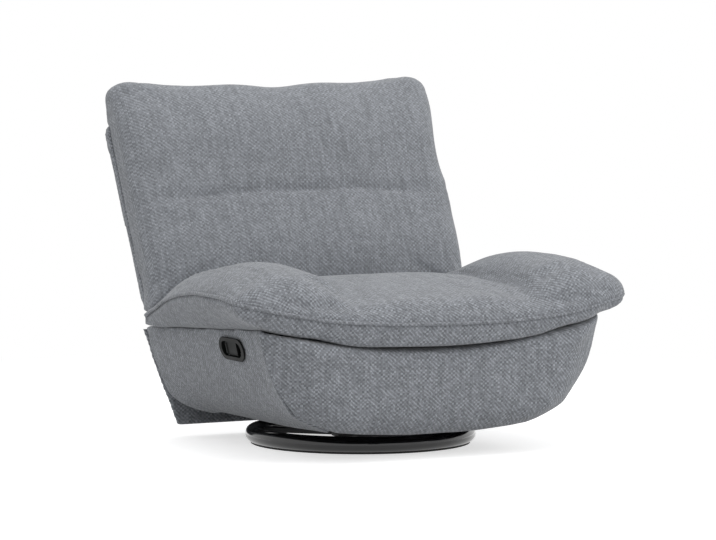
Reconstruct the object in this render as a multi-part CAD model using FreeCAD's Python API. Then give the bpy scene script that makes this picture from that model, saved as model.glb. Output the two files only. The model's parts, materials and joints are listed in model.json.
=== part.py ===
import FreeCAD, Part
import math
import os
from FreeCAD import Vector

# Swivel rocker recliner, in millimetres.
# +Z is up, -Y is the front, the swivel axis is Z and the floor is z = 0.

# Swivel base
STRIP_HEIGHT = 4.0
STRIP_WIDTH = 13.0
RING_D = 600.0
RING_TUBE_D = 42.0
RING_WALL = 2.5
RING_FLAT = 1.2
ARM_COUNT = 4
ARM_WIDTH = 38.0
ARM_HEIGHT = 12.0
HUB_D = 150.0
HUB_HEIGHT = 16.0
KING_D = 20.0
KING_HEAD_D = 36.0
KING_HEAD_HEIGHT = 8.0
KING_WASHER_D = 44.0
KING_WASHER_T = 3.0
KING_NUT_WIDTH = 30.0
KING_NUT_HEIGHT = 12.0

# Ball race
RACE_D = 150.0
RACE_T = 5.0
RACE_GAP = 3.0
BALL_D = 9.0
BALL_COUNT = 16
BALL_PITCH_D = 118.0
CAGE_T = 1.6
CAGE_WIDTH = 18.0
RUN_GAP = 0.3

# Turntable and rocker pivot
TABLE_WIDTH = 280.0
TABLE_LENGTH = 370.0
TABLE_T = 5.0
TABLE_CORNER_R = 40.0
EAR_X = 95.0
EAR_T = 6.0
EAR_BASE = 76.0
EAR_R = 19.0
ROCK_Z = 96.0
ROCK_PIN_D = 16.0
ROCK_PIN_HEAD_D = 25.0
ROCK_PIN_HEAD_T = 5.0
BUSH_D = 24.0
BUSH_LENGTH = 14.0
PIN_PLAY = 0.1

# Rocker frame
BEAM_X = 105.0
BEAM_T = 6.0
BEAM_FLANGE = 30.0
BEAM_DROP = 16.0
BEAM_RISE = 26.0
BEAM_FRONT = -192.0
BEAM_REAR = 240.0
BRIDGE_Y = 140.0
BRIDGE_WIDTH = 52.0
BRIDGE_T = 6.0
COIL_X = 58.0
COIL_D = 44.0
COIL_WIRE_D = 6.0
COIL_TURNS = 4
SEAT_CUP_T = 3.0
TUBE_SIZE = 25.0
TUBE_WALL = 2.0
TUBE_FRONT_Y = 50.0
TUBE_REAR_Y = 220.0

# Mechanism side plates and links, right-hand side, from the plate inwards
PLATE_X = 285.0
PLATE_T = 5.0
LINK_T = 4.0
LINK_GAP = 3.0
LINK_WIDTH = 22.0
STUD_D = 12.0
STUD_HEAD_D = 18.0
STUD_HEAD_T = 2.0
FRONT_PIVOT_Y = -210.0
FRONT_PIVOT_DROP = 16.0
LINK_LENGTH = 180.0
LINK_REST_DEG = -38.0
PIVOT_SPREAD = 80.0
PIVOT_SPREAD_DEG = -75.5
GUIDE_OFFSET = 45.0
BRACKET_PIVOT_SET = 57.0
BRACKET_PIVOT_DROP = 48.0
BRACKET_FLANGE = 34.0
BRACKET_DROP = 90.0
TORQUE_TUBE_D = 18.0
TORQUE_TUBE_OFFSET = 60.0
LATCH_CAM_D = 40.0
PAWL_GAP = 2.0
PAWL_ARM = 26.0
PAWL_TAIL = 29.0
PAWL_STUD_D = 10.0

# Seat box
RAIL_GAP = 9.0
RAIL_T = 18.0
RAIL_BOTTOM = 215.0
DECK_Z = 288.0
RAIL_OVERHANG = 32.0
RAIL_TAIL = 4.0
CROSS_RAIL_T = 18.0
CROSS_RAIL_HEIGHT = 24.0
FRONT_RAIL_Y = -298.0
REAR_RAIL_SET = 47.0
WAVE_WIRE_D = 4.4
WAVE_COUNT = 5
WAVE_PITCH = 108.0
WAVE_LOOPS = 9
WAVE_WIDTH = 50.0

# Upholstered body
BODY_FRONT = -380.0
BODY_HALF_WIDTH = 474.0
BODY_REAR_HALF_WIDTH = 452.0
BODY_FRONT_TOP = 342.0
BODY_REAR_TOP = 292.5
SHELF_T = 26.0
BODY_SIDE_X = 390.0
BODY_SIDE_Z = 129.0
BODY_LIP_X = 300.0
BODY_LIP_Z = 71.0
SWEEP_START_Y = 60.0
SWEEP_BEND_Y = 262.0
SWEEP_BEND_Z = 86.0
SWEEP_END_Z = 140.0
REAR_BOARD_T = 12.0
REAR_BOARD_SET = 43.0
REAR_BOARD_LEAN = 18.0
REAR_BOARD_PROUD = 1.5
REAR_BOARD_BOTTOM = 37.0
REAR_BOARD_SPREAD = 5.0
REAR_BOARD_BOTTOM_HALF = 365.0
SEAT_NOSE_Y = -492.0
SEAT_CROWN = 436.0
SEAT_CROWN_Y = -220.0
WING_CROWN = 489.0
WING_HALF_WIDTH = 553.0
SOFT_GAP = 0.4
BACK_SLOT = 8.0

# Footrest
PAD_GAP = 4.0
PAD_CROWN = 74.0
PAD_INSET = 4.0
PAD_TOP_GAP = 5.0
PAD_TOP_DIP = 60.0
PAD_BOTTOM = 62.0
BOARD_T = 16.0
BOARD_HALF_TOP = 300.0
BOARD_HALF_BOTTOM = 285.0
BOARD_TOP = 270.0
BOARD_BOTTOM = 108.0

# Back, drawn along its rake from a point low on its rear face
BACK_SET = 35.0
BACK_RISE = 12.0
BACK_RAKE_DEG = 24.6
BACK_HALF_WIDTH = 466.0
BACK_TOP = 611.0
BACK_EAR = 19.0
BACK_FLARE = 9.0
BACK_SEAM = 289.0
BACK_THICK = 158.0
SHELL_T = 22.0
SHELL_BOTTOM = 4.0
SHELL_TOP = 521.0
SHELL_PROUD = 10.0
SHELL_TAPER = 15.0
SHELL_CORNER_R = 30.0
FRAME_FRONT = 60.0
STILE_WIDTH = 40.0
FRAME_FOOT = 2.0
FRAME_HEAD = 4.0
FRAME_RAIL = 45.0
STRAP_COUNT = 5
STRAP_WIDTH = 45.0
STRAP_T = 1.6
HINGE_Y = 300.0
HINGE_Z = 310.0
HINGE_PIN_D = 14.0
HINGE_R = 16.0
HINGE_STRAP_TOP = 170.0
HINGE_STRAP_GAP = 2.0

# Release handle in the left side panel
HANDLE_Y = -188.0
HANDLE_Z = 278.0
HANDLE_TILT_DEG = 14.0
HANDLE_PROUD = 4.4
BEZEL_LENGTH = 136.0
BEZEL_HEIGHT = 60.0
BEZEL_T = 3.0
CUP_LENGTH = 112.0
CUP_HEIGHT = 44.0
CUP_WALL = 2.5
CUP_DEPTH = 24.0
PADDLE_LENGTH = 72.0
PADDLE_T = 6.0
PADDLE_PIN_D = 5.0
CABLE_D = 6.0


def box(x0, x1, y0, y1, z0, z1):
    return Part.makeBox(x1 - x0, y1 - y0, z1 - z0, Vector(x0, y0, z0))


def rod(start, end, diameter):
    axis = end - start
    return Part.makeCylinder(diameter / 2, axis.Length, start, axis)


def rod_x(point, x0, x1, diameter):
    return rod(Vector(x0, point[0], point[1]), Vector(x1, point[0], point[1]), diameter)


def sheet_x(points, x0, x1):
    corners = [Vector(x0, y, z) for y, z in points]
    face = Part.Face(Part.makePolygon(corners + corners[:1]))
    return face.extrude(Vector(x1 - x0, 0, 0))


def bar_x(a, b, width, x0, x1):
    """A flat bar with round ends between two points of the YZ plane."""
    run = Vector(0, b[0] - a[0], b[1] - a[1])
    along = Vector(run).normalize() * (width / 2)
    side = Vector(0, -along.z, along.y)
    p = Vector(x0, a[0], a[1])
    q = Vector(x0, b[0], b[1])
    edges = [
        Part.LineSegment(p + side, q + side).toShape(),
        Part.Arc(q + side, q + along, q - side).toShape(),
        Part.LineSegment(q - side, p - side).toShape(),
        Part.Arc(p - side, p - along, p + side).toShape(),
    ]
    return Part.Face(Part.Wire(edges)).extrude(Vector(x1 - x0, 0, 0))


def slot_z(length, height, z0, z1):
    """An upright prism with a stadium outline, centred on the Z axis."""
    r = height / 2
    c = length / 2 - r
    edges = [
        Part.LineSegment(Vector(-c, r, z0), Vector(c, r, z0)).toShape(),
        Part.Arc(Vector(c, r, z0), Vector(c + r, 0, z0), Vector(c, -r, z0)).toShape(),
        Part.LineSegment(Vector(c, -r, z0), Vector(-c, -r, z0)).toShape(),
        Part.Arc(Vector(-c, -r, z0), Vector(-c - r, 0, z0), Vector(-c, r, z0)).toShape(),
    ]
    return Part.Face(Part.Wire(edges)).extrude(Vector(0, 0, z1 - z0))


def outline(start, steps, place):
    """A closed wire; each step is (end,) for a line or (through, end) for an arc."""
    edges = []
    here = start
    for step in steps:
        end = step[-1]
        if len(step) == 1:
            edges.append(Part.LineSegment(place(*here), place(*end)).toShape())
        else:
            edges.append(Part.Arc(place(*here), place(*step[0]), place(*end)).toShape())
        here = end
    return Part.Wire(edges)


def flip(shape):
    return shape.mirror(Vector(0, 0, 0), Vector(1, 0, 0))


def one(first, *others):
    return first.multiFuse(list(others)).removeSplitter()


def save(name, *shapes):
    shape = shapes[0] if len(shapes) == 1 else Part.makeCompound(list(shapes))
    shape.exportStep("parts/%s.step" % name)


def save_pair(name, right):
    save(name + "_right", right)
    save(name + "_left", flip(right))


def coil(centre_x, centre_y, z0, z1, mean_r, wire_d, turns):
    """An upright wire coil built of quarter turns."""
    steps = turns * 4

    def spot(k):
        angle = math.pi / 2 * k
        height = z0 + (z1 - z0) * k / steps
        return Vector(centre_x + mean_r * math.cos(angle), centre_y + mean_r * math.sin(angle), height)

    arcs = [Part.Arc(spot(k), spot(k + 0.5), spot(k + 1)).toShape() for k in range(steps)]
    path = Part.Wire(arcs)
    start = arcs[0]
    ring = Part.Wire(Part.Circle(spot(0), start.tangentAt(start.FirstParameter), wire_d / 2).toShape())
    return path.makePipeShell([ring], True, False)


def wave(centre_x, y0, y1, z, width, loops, wire_d):
    """A flat zigzag seat spring: half circles joined by straight runs."""
    r = (y1 - y0) / (2 * loops)
    half = width / 2 - r
    edges = []
    for k in range(loops):
        side = 1 if k % 2 == 0 else -1
        y = y0 + 2 * r * k
        low = Vector(centre_x + side * half, y, z)
        top = Vector(centre_x + side * (half + r), y + r, z)
        high = Vector(centre_x + side * half, y + 2 * r, z)
        edges.append(Part.Arc(low, top, high).toShape())
        if k < loops - 1:
            edges.append(Part.LineSegment(high, Vector(centre_x - side * half, y + 2 * r, z)).toShape())
    start = edges[0]
    tangent = start.tangentAt(start.FirstParameter)
    ring = Part.Wire(Part.Circle(start.Vertexes[0].Point, tangent, wire_d / 2).toShape())
    return Part.Wire(edges).makePipeShell([ring], True, False)


os.makedirs("parts", exist_ok=True)

# Places that several pieces share
beam_bottom = ROCK_Z - BEAM_DROP
beam_top = ROCK_Z + BEAM_RISE
plate_out = PLATE_X + PLATE_T
rail_x = plate_out + RAIL_GAP
rear_rail_y = HINGE_Y - REAR_RAIL_SET
wave_z = DECK_Z + WAVE_WIRE_D / 2 + SOFT_GAP / 2
seat_bottom = wave_z + WAVE_WIRE_D / 2 + SOFT_GAP
back_y = HINGE_Y + BACK_SET
back_z = HINGE_Z + BACK_RISE
rear_board_y = HINGE_Y + REAR_BOARD_SET
rear_board_foot_y = rear_board_y - REAR_BOARD_LEAN
rear_board_top = BODY_REAR_TOP + REAR_BOARD_PROUD
rear_board_half = BODY_REAR_HALF_WIDTH + REAR_BOARD_SPREAD
pad_rear = BODY_FRONT - PAD_GAP
frame_bottom = SHELL_BOTTOM + FRAME_FOOT
frame_top = SHELL_TOP - FRAME_HEAD
strap_in = PLATE_X - HINGE_STRAP_GAP - PLATE_T
stile_x = strap_in - STILE_WIDTH

# Swivel base
ring_r = (RING_D - RING_TUBE_D) / 2
ring_z = STRIP_HEIGHT + RING_TUBE_D / 2 - RING_FLAT
strip = Part.makeCylinder(ring_r + STRIP_WIDTH / 2, STRIP_HEIGHT)
strip = strip.cut(Part.makeCylinder(ring_r - STRIP_WIDTH / 2, STRIP_HEIGHT))
save("floor_strip", strip)

floor_cut = Part.makeCylinder(RING_D, STRIP_HEIGHT)
tube_solid = Part.makeTorus(ring_r, RING_TUBE_D / 2, Vector(0, 0, ring_z))
tube_bore = Part.makeTorus(ring_r, RING_TUBE_D / 2 - RING_WALL, Vector(0, 0, ring_z))
save("base_ring", tube_solid.cut(floor_cut).cut(tube_bore))

arm_z = ring_z - ARM_HEIGHT / 2
hub_top = arm_z + HUB_HEIGHT
spider = Part.makeCylinder(HUB_D / 2, HUB_HEIGHT, Vector(0, 0, arm_z))
for k in range(ARM_COUNT):
    arm = box(0, ring_r, -ARM_WIDTH / 2, ARM_WIDTH / 2, arm_z, arm_z + ARM_HEIGHT)
    arm.rotate(Vector(0, 0, 0), Vector(0, 0, 1), 360.0 * (k + 0.5) / ARM_COUNT)
    spider = spider.fuse(arm)
spider = spider.cut(tube_solid).cut(Part.makeCylinder(KING_D / 2, 4 * HUB_HEIGHT))
spider = spider.removeSplitter()
save("base_spider", max(spider.Solids, key=lambda s: s.Volume))

# Ball race between the hub and the turntable
race_low = hub_top + RACE_T
race_high = race_low + RACE_GAP
table_z = race_high + RACE_T
table_top = table_z + TABLE_T
ball_z = race_low + RACE_GAP / 2
pitch_r = BALL_PITCH_D / 2
groove = Part.makeTorus(pitch_r, BALL_D / 2 + RUN_GAP, Vector(0, 0, ball_z))
lower_race = Part.makeCylinder(RACE_D / 2, RACE_T, Vector(0, 0, hub_top))
lower_race = lower_race.cut(groove).cut(Part.makeCylinder(KING_D / 2, table_top))
save("lower_race", lower_race)
upper_race = Part.makeCylinder(RACE_D / 2, RACE_T, Vector(0, 0, race_high))
upper_race = upper_race.cut(groove).cut(Part.makeCylinder(KING_D / 2 + RUN_GAP, table_top))
save("upper_race", upper_race)

ball_spots = []
for k in range(BALL_COUNT):
    turn = 2 * math.pi * k / BALL_COUNT
    ball_spots.append(Vector(pitch_r * math.cos(turn), pitch_r * math.sin(turn), ball_z))
save("bearing_balls", *[Part.makeSphere(BALL_D / 2, spot) for spot in ball_spots])
cage = Part.makeCylinder(pitch_r + CAGE_WIDTH / 2, CAGE_T, Vector(0, 0, ball_z - CAGE_T / 2))
cage = cage.cut(Part.makeCylinder(pitch_r - CAGE_WIDTH / 2, table_top))
holes = [Part.makeCylinder(BALL_D / 2 + RUN_GAP, table_top, Vector(p.x, p.y, 0)) for p in ball_spots]
save("ball_cage", cage.cut(holes))

washer_z = table_top + RUN_GAP
nut_z = washer_z + KING_WASHER_T
king = Part.makeCylinder(KING_HEAD_D / 2, KING_HEAD_HEIGHT, Vector(0, 0, arm_z - KING_HEAD_HEIGHT))
shank = Part.makeCylinder(KING_D / 2, nut_z + KING_NUT_HEIGHT - arm_z, Vector(0, 0, arm_z))
save("king_bolt", one(king, shank))
bore = Part.makeCylinder(KING_D / 2, table_top * 2)
washer = Part.makeCylinder(KING_WASHER_D / 2, KING_WASHER_T, Vector(0, 0, washer_z)).cut(bore)
hexagon = []
for k in range(7):
    turn = math.pi / 3 * k
    corner_r = KING_NUT_WIDTH / math.sqrt(3)
    hexagon.append(Vector(corner_r * math.cos(turn), corner_r * math.sin(turn), nut_z))
nut = Part.Face(Part.makePolygon(hexagon)).extrude(Vector(0, 0, KING_NUT_HEIGHT)).cut(bore)
save("king_nut", washer, nut)

# Turntable
table = box(-TABLE_WIDTH / 2, TABLE_WIDTH / 2, -TABLE_LENGTH / 2, TABLE_LENGTH / 2, table_z, table_top)
upright = [e for e in table.Edges if abs(e.tangentAt(e.FirstParameter).z) > 0.9]
table = table.makeFillet(TABLE_CORNER_R, upright)
save("turntable_plate", table.cut(Part.makeCylinder(KING_D / 2 + RUN_GAP, table_top * 2)))


def rocker_ear(x0):
    foot = [
        (-EAR_BASE / 2, table_top),
        (EAR_BASE / 2, table_top),
        (EAR_R, ROCK_Z),
        (-EAR_R, ROCK_Z),
    ]
    ear = sheet_x(foot, x0, x0 + EAR_T)
    ear = one(ear, rod_x((0, ROCK_Z), x0, x0 + EAR_T, 2 * EAR_R))
    return ear.cut(rod_x((0, ROCK_Z), x0 - 1, x0 + EAR_T + 1, ROCK_PIN_D))


save("rocker_ears", rocker_ear(EAR_X), flip(rocker_ear(EAR_X)))
bush_x = BEAM_X + BEAM_T / 2 - BUSH_LENGTH / 2
pin_end = bush_x + BUSH_LENGTH + RUN_GAP
rock_pin = rod_x((0, ROCK_Z), -pin_end, pin_end, ROCK_PIN_D)
pin_head = rod_x((0, ROCK_Z), pin_end, pin_end + ROCK_PIN_HEAD_T, ROCK_PIN_HEAD_D)
save("rocker_pin", one(rock_pin, pin_head, flip(pin_head)))

coil_spots = [(sx * COIL_X, sy * BRIDGE_Y) for sx in (-1, 1) for sy in (-1, 1)]
bridge_top = beam_top - BEAM_T
bridge_low = bridge_top - BRIDGE_T
cups = []
coils = []
for x, y in coil_spots:
    cup = Part.makeCylinder(COIL_D / 2 + 3, SEAT_CUP_T, Vector(x, y, table_top))
    peg = Part.makeCylinder(COIL_D / 2 - COIL_WIRE_D - 1, 4 * SEAT_CUP_T, Vector(x, y, table_top))
    cups.append(one(cup, peg))
    low = table_top + SEAT_CUP_T + COIL_WIRE_D / 2 + RUN_GAP
    high = bridge_low - COIL_WIRE_D / 2 - RUN_GAP
    coils.append(coil(x, y, low, high, (COIL_D - COIL_WIRE_D) / 2, COIL_WIRE_D, COIL_TURNS))
save("spring_seats", *cups)
save("rocker_springs", *coils)
coil_step = (bridge_low - table_top - SEAT_CUP_T - COIL_WIRE_D - 2 * RUN_GAP) / COIL_TURNS
print("least gap between curls, mm:", round(coil_step - COIL_WIRE_D, 2))

# Rocker frame
beam = one(
    box(BEAM_X, BEAM_X + BEAM_T, BEAM_FRONT, BEAM_REAR, beam_bottom, beam_top),
    box(BEAM_X, BEAM_X + BEAM_FLANGE, BEAM_FRONT, BEAM_REAR, beam_top - BEAM_T, beam_top),
)
save_pair("rocker_beam", beam.cut(rod_x((0, ROCK_Z), 0, 2 * BEAM_X, BUSH_D)))
bush = rod_x((0, ROCK_Z), bush_x, bush_x + BUSH_LENGTH, BUSH_D)
bush = bush.cut(rod_x((0, ROCK_Z), 0, 2 * BEAM_X, ROCK_PIN_D + 2 * PIN_PLAY))
save("pivot_bushes", bush, flip(bush))
bridges = []
for y in (-BRIDGE_Y, BRIDGE_Y):
    bridges.append(box(-BEAM_X, BEAM_X, y - BRIDGE_WIDTH / 2, y + BRIDGE_WIDTH / 2, bridge_low, bridge_top))
save("spring_bridges", *bridges)
tubes = []
for y in (TUBE_FRONT_Y, TUBE_REAR_Y):
    h = TUBE_SIZE / 2
    solid = box(-PLATE_X, PLATE_X, y - h, y + h, beam_top, beam_top + TUBE_SIZE)
    w = h - TUBE_WALL
    middle = beam_top + h
    tubes.append(solid.cut(box(-PLATE_X, PLATE_X, y - w, y + w, middle - w, middle + w)))
save("cross_tubes", *tubes)

# Footrest linkage, right-hand side; every pivot is a point (y, z)
front_pivot = (FRONT_PIVOT_Y, DECK_Z - FRONT_PIVOT_DROP)


def from_point(point, length, degrees):
    """A point at an angle from straight down, counted towards the front."""
    turn = math.radians(degrees)
    return (point[0] - length * math.sin(turn), point[1] - length * math.cos(turn))


rear_pivot = from_point(front_pivot, PIVOT_SPREAD, PIVOT_SPREAD_DEG)
knee = from_point(front_pivot, LINK_LENGTH, LINK_REST_DEG)
rear_knee = from_point(rear_pivot, LINK_LENGTH, LINK_REST_DEG)
guide_knee = from_point(knee, -GUIDE_OFFSET, LINK_REST_DEG)
bracket_pivot = (BODY_FRONT + BRACKET_PIVOT_SET, DECK_Z - BRACKET_PIVOT_DROP)
guide_end = from_point(bracket_pivot, -GUIDE_OFFSET, LINK_REST_DEG)
tube_point = from_point(front_pivot, TORQUE_TUBE_OFFSET, LINK_REST_DEG)

layer = LINK_T + LINK_GAP
plate_in = PLATE_X
link_x = plate_in - layer
carrier_x = link_x - layer
guide_x = carrier_x - layer
bracket_x = guide_x - layer


def stud_in(point, from_x, through_x):
    """A rivet that starts at one link, passes inwards through another and is headed there."""
    shaft = rod_x(point, through_x, from_x, STUD_D)
    head = rod_x(point, through_x - STUD_HEAD_T - RUN_GAP, through_x - RUN_GAP, STUD_HEAD_D)
    neck = rod_x(point, through_x - RUN_GAP, through_x, STUD_D)
    return [shaft, neck, head]


def stud_out(point, head_d):
    """A rivet that passes outwards through the side plate and is headed there."""
    shaft = rod_x(point, link_x + LINK_T, plate_out + 1, STUD_D)
    return [shaft, rod_x(point, plate_out + 1, plate_out + LINK_T + 1, head_d)]


def pivot_hole(point, x0):
    return rod_x(point, x0 - 1, x0 + LINK_T + 1, STUD_D + 2 * PIN_PLAY)


front_bar = bar_x(front_pivot, knee, LINK_WIDTH, link_x, link_x + LINK_T)
front_link = one(
    front_bar,
    *stud_out(front_pivot, STUD_HEAD_D),
    *stud_in(knee, link_x, carrier_x),
    *stud_in(guide_knee, link_x, guide_x),
)
save_pair("front_link", front_link)
torque_tube = rod_x(tube_point, -link_x, link_x, TORQUE_TUBE_D)
save("torque_tube", torque_tube)

rear_bar = bar_x(rear_pivot, rear_knee, LINK_WIDTH, link_x, link_x + LINK_T)
rear_knee_stud = stud_in(rear_knee, link_x, carrier_x)
save("rear_link_right", one(rear_bar, *stud_out(rear_pivot, STUD_HEAD_D), *rear_knee_stud))
save("rear_link_left", flip(one(rear_bar, *stud_out(rear_pivot, LATCH_CAM_D), *rear_knee_stud)))

carrier = one(
    bar_x(rear_knee, knee, LINK_WIDTH, carrier_x, carrier_x + LINK_T),
    bar_x(knee, bracket_pivot, LINK_WIDTH, carrier_x, carrier_x + LINK_T),
    *stud_in(bracket_pivot, carrier_x, bracket_x),
)
carrier = carrier.cut([pivot_hole(rear_knee, carrier_x), pivot_hole(knee, carrier_x)])
save_pair("carrier_link", carrier)

guide = one(
    bar_x(guide_knee, guide_end, LINK_WIDTH - 4, guide_x, guide_x + LINK_T),
    *stud_in(guide_end, guide_x, bracket_x),
)
save_pair("guide_link", guide.cut(pivot_hole(guide_knee, guide_x)))

board_front = pad_rear + SOFT_GAP
board_rear = board_front + BOARD_T
flange_rear = board_rear + LINK_T
bracket = bar_x(bracket_pivot, guide_end, LINK_WIDTH, bracket_x, bracket_x + LINK_T)
bracket_low = bracket_pivot[1] - BRACKET_DROP
web = [
    (bracket_pivot[0] + LINK_WIDTH / 2, bracket_pivot[1]),
    (guide_end[0], guide_end[1]),
    (board_rear, guide_end[1]),
    (board_rear, bracket_low),
    (flange_rear, bracket_low),
]
bracket = one(
    bracket,
    sheet_x(web, bracket_x, bracket_x + LINK_T),
    box(bracket_x - BRACKET_FLANGE, bracket_x + LINK_T, board_rear, flange_rear, bracket_low, guide_end[1]),
)
bracket = bracket.cut([pivot_hole(bracket_pivot, bracket_x), pivot_hole(guide_end, bracket_x)])
clear = 2 * STUD_HEAD_D
front_trim = box(bracket_x - clear, bracket_x + clear, board_rear - clear, board_rear, 0, SEAT_CROWN)
save_pair("footrest_bracket", bracket.cut(front_trim))

# Side plates with the rear ears that carry the back
plate_outline = [
    (FRONT_PIVOT_Y - 40, DECK_Z - 1),
    (FRONT_PIVOT_Y - 40, front_pivot[1] - 18),
    (TUBE_FRONT_Y - 110, beam_top + 28),
    (TUBE_FRONT_Y - 60, beam_top - 6),
    (TUBE_REAR_Y + 30, beam_top - 6),
    (HINGE_Y + HINGE_R, HINGE_Z - 60),
    (HINGE_Y + HINGE_R, HINGE_Z),
    (HINGE_Y - HINGE_R, HINGE_Z),
    (HINGE_Y - 60, DECK_Z - 1),
]
hinge = (HINGE_Y, HINGE_Z)
plate = one(
    sheet_x(plate_outline, plate_in, plate_out),
    rod_x(hinge, plate_in, plate_out, 2 * HINGE_R),
)
window_z = (beam_top + TUBE_SIZE + DECK_Z) / 2
window = bar_x((TUBE_FRONT_Y + 40, window_z), (TUBE_REAR_Y - 40, window_z), 70.0, plate_in - 1, plate_out + 1)
plate = plate.cut(
    [
        window,
        rod_x(hinge, plate_in - 1, plate_out + 1, HINGE_PIN_D),
        rod_x(front_pivot, plate_in - 1, plate_out + 1, STUD_D + 2 * PIN_PLAY),
        rod_x(rear_pivot, plate_in - 1, plate_out + 1, STUD_D + 2 * PIN_PLAY),
    ]
)
save("side_plate_right", plate)

# Latch pawl, behind the cam of the left rear link
pawl_reach = LATCH_CAM_D / 2 + PAWL_GAP
toward = Vector(0, 0.99, -0.13).normalize()
pawl_nose = (rear_pivot[0] + toward.y * (pawl_reach + 5), rear_pivot[1] + toward.z * (pawl_reach + 5))
pawl_pivot = (pawl_nose[0] + toward.y * PAWL_ARM, pawl_nose[1] + toward.z * PAWL_ARM)
pawl_tail = (pawl_pivot[0] + PAWL_TAIL * 0.62, pawl_pivot[1] - PAWL_TAIL * 0.78)
pawl_in = plate_out + 1
pawl_out = pawl_in + LINK_T
pawl_head_in = plate_in - RUN_GAP - STUD_HEAD_T
pawl = one(
    bar_x(pawl_nose, pawl_pivot, 10.0, pawl_in, pawl_out),
    bar_x(pawl_pivot, pawl_tail, 12.0, pawl_in, pawl_out),
    rod_x(pawl_pivot, pawl_in, pawl_out, 20.0),
    rod_x(pawl_pivot, pawl_head_in, pawl_in, PAWL_STUD_D),
    rod_x(pawl_pivot, pawl_head_in, pawl_head_in + STUD_HEAD_T, STUD_HEAD_D),
)
save("latch_pawl", flip(pawl))
pawl_hole = rod_x(pawl_pivot, plate_in - 1, plate_out + 1, PAWL_STUD_D + 2 * PIN_PLAY)
save("side_plate_left", flip(plate.cut(pawl_hole)))

# Seat box
rail_front = FRONT_RAIL_Y - RAIL_OVERHANG
rail_rear = rear_rail_y + CROSS_RAIL_T + RAIL_TAIL
rail = box(rail_x, rail_x + RAIL_T, rail_front, rail_rear, RAIL_BOTTOM, DECK_Z)
for y in (TUBE_FRONT_Y, TUBE_REAR_Y):
    rail = rail.fuse(box(plate_out, rail_x, y - 20, y + 20, RAIL_BOTTOM + 10, DECK_Z - 10))
save_pair("side_rail", rail.removeSplitter())
cross_low = DECK_Z - CROSS_RAIL_HEIGHT
save("front_rail", box(-rail_x, rail_x, FRONT_RAIL_Y, FRONT_RAIL_Y + CROSS_RAIL_T, cross_low, DECK_Z))
save("rear_rail", box(-PLATE_X, PLATE_X, rear_rail_y, rear_rail_y + CROSS_RAIL_T, cross_low, DECK_Z))
wave_front = FRONT_RAIL_Y + CROSS_RAIL_T / 2
wave_rear = rear_rail_y + CROSS_RAIL_T / 2
waves = []
for k in range(WAVE_COUNT):
    x = WAVE_PITCH * (k - (WAVE_COUNT - 1) / 2)
    waves.append(wave(x, wave_front, wave_rear, wave_z, WAVE_WIDTH, WAVE_LOOPS, WAVE_WIRE_D))
save("seat_springs", *waves)

# Side panels: a curved tub side with a shelf that the cushion rests on
shelf_low = DECK_Z + SHELF_T / 5 - SHELF_T
shelf_top = seat_bottom - SOFT_GAP
shelf_x = rail_x + RAIL_T
ramp_x = 380.0


def tub_section(y, half, top, shelf):
    flare = half - BODY_SIDE_X
    belly = (BODY_SIDE_X + flare * 0.72, (BODY_SIDE_Z + top) / 2 + 4)
    steps = [
        (belly, (BODY_SIDE_X, BODY_SIDE_Z)),
        ((BODY_SIDE_X - 39, BODY_SIDE_Z - 34), (BODY_LIP_X, BODY_LIP_Z)),
        ((BODY_LIP_X + 5, BODY_LIP_Z + 20),),
        ((BODY_SIDE_X - 58, BODY_SIDE_Z - 12), (BODY_SIDE_X - 30, BODY_SIDE_Z + 18)),
        ((BODY_SIDE_X + flare * 0.12, BODY_SIDE_Z + 84), (BODY_SIDE_X + flare * 0.36, shelf_low)),
        ((shelf_x, shelf_low),),
        ((shelf_x, shelf),),
        ((ramp_x, shelf),),
        ((half, top),),
    ]
    return outline((half, top), steps, lambda x, z: Vector(x, y, z))


lean = REAR_BOARD_LEAN / (rear_board_top - REAR_BOARD_BOTTOM)
body_rear = rear_board_y + 5
tub = Part.makeLoft(
    [
        tub_section(BODY_FRONT, BODY_HALF_WIDTH, BODY_FRONT_TOP, shelf_top),
        tub_section(body_rear, BODY_REAR_HALF_WIDTH, BODY_REAR_TOP, shelf_top),
    ],
    True,
    True,
)
sweep_up = outline(
    (SWEEP_START_Y, 0.0),
    [
        ((SWEEP_START_Y, BODY_LIP_Z - 8),),
        ((SWEEP_BEND_Y, SWEEP_BEND_Z), (rear_board_y - 3, SWEEP_END_Z)),
        ((2 * body_rear, SWEEP_END_Z),),
        ((2 * body_rear, 0.0),),
        ((SWEEP_START_Y, 0.0),),
    ],
    lambda y, z: Vector(0, y, z),
)
lower_cut = Part.Face(sweep_up).extrude(Vector(2 * BODY_HALF_WIDTH, 0, 0))
behind = [
    (rear_board_foot_y - lean * REAR_BOARD_BOTTOM - RUN_GAP, 0.0),
    (rear_board_y + lean * (WING_CROWN - rear_board_top) - RUN_GAP, WING_CROWN),
    (2 * body_rear, WING_CROWN),
    (2 * body_rear, 0.0),
]
side_panel = tub.cut([lower_cut, sheet_x(behind, 0, 2 * BODY_HALF_WIDTH)])
# Release handle: local X runs to the front, local Z points out of the left side panel
tilt = math.radians(HANDLE_TILT_DEG)
handle_x = Vector(0, -1, 0)
handle_out = Vector(-math.cos(tilt), 0, -math.sin(tilt))
handle_up = handle_out.cross(handle_x)
sight = Part.makeLine(Vector(rail_x, HANDLE_Y, HANDLE_Z), Vector(2 * BODY_HALF_WIDTH, HANDLE_Y, HANDLE_Z))
panel_face = tub.common(sight).BoundBox.XMax
handle_at = Vector(-panel_face - HANDLE_PROUD, HANDLE_Y, HANDLE_Z)
handle_place = FreeCAD.Placement(
    FreeCAD.Matrix(
        handle_x.x, handle_up.x, handle_out.x, handle_at.x,
        handle_x.y, handle_up.y, handle_out.y, handle_at.y,
        handle_x.z, handle_up.z, handle_out.z, handle_at.z,
        0, 0, 0, 1,
    )
)


def on_handle(shape):
    placed = shape.copy()
    placed.Placement = handle_place.multiply(placed.Placement)
    return placed


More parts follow.
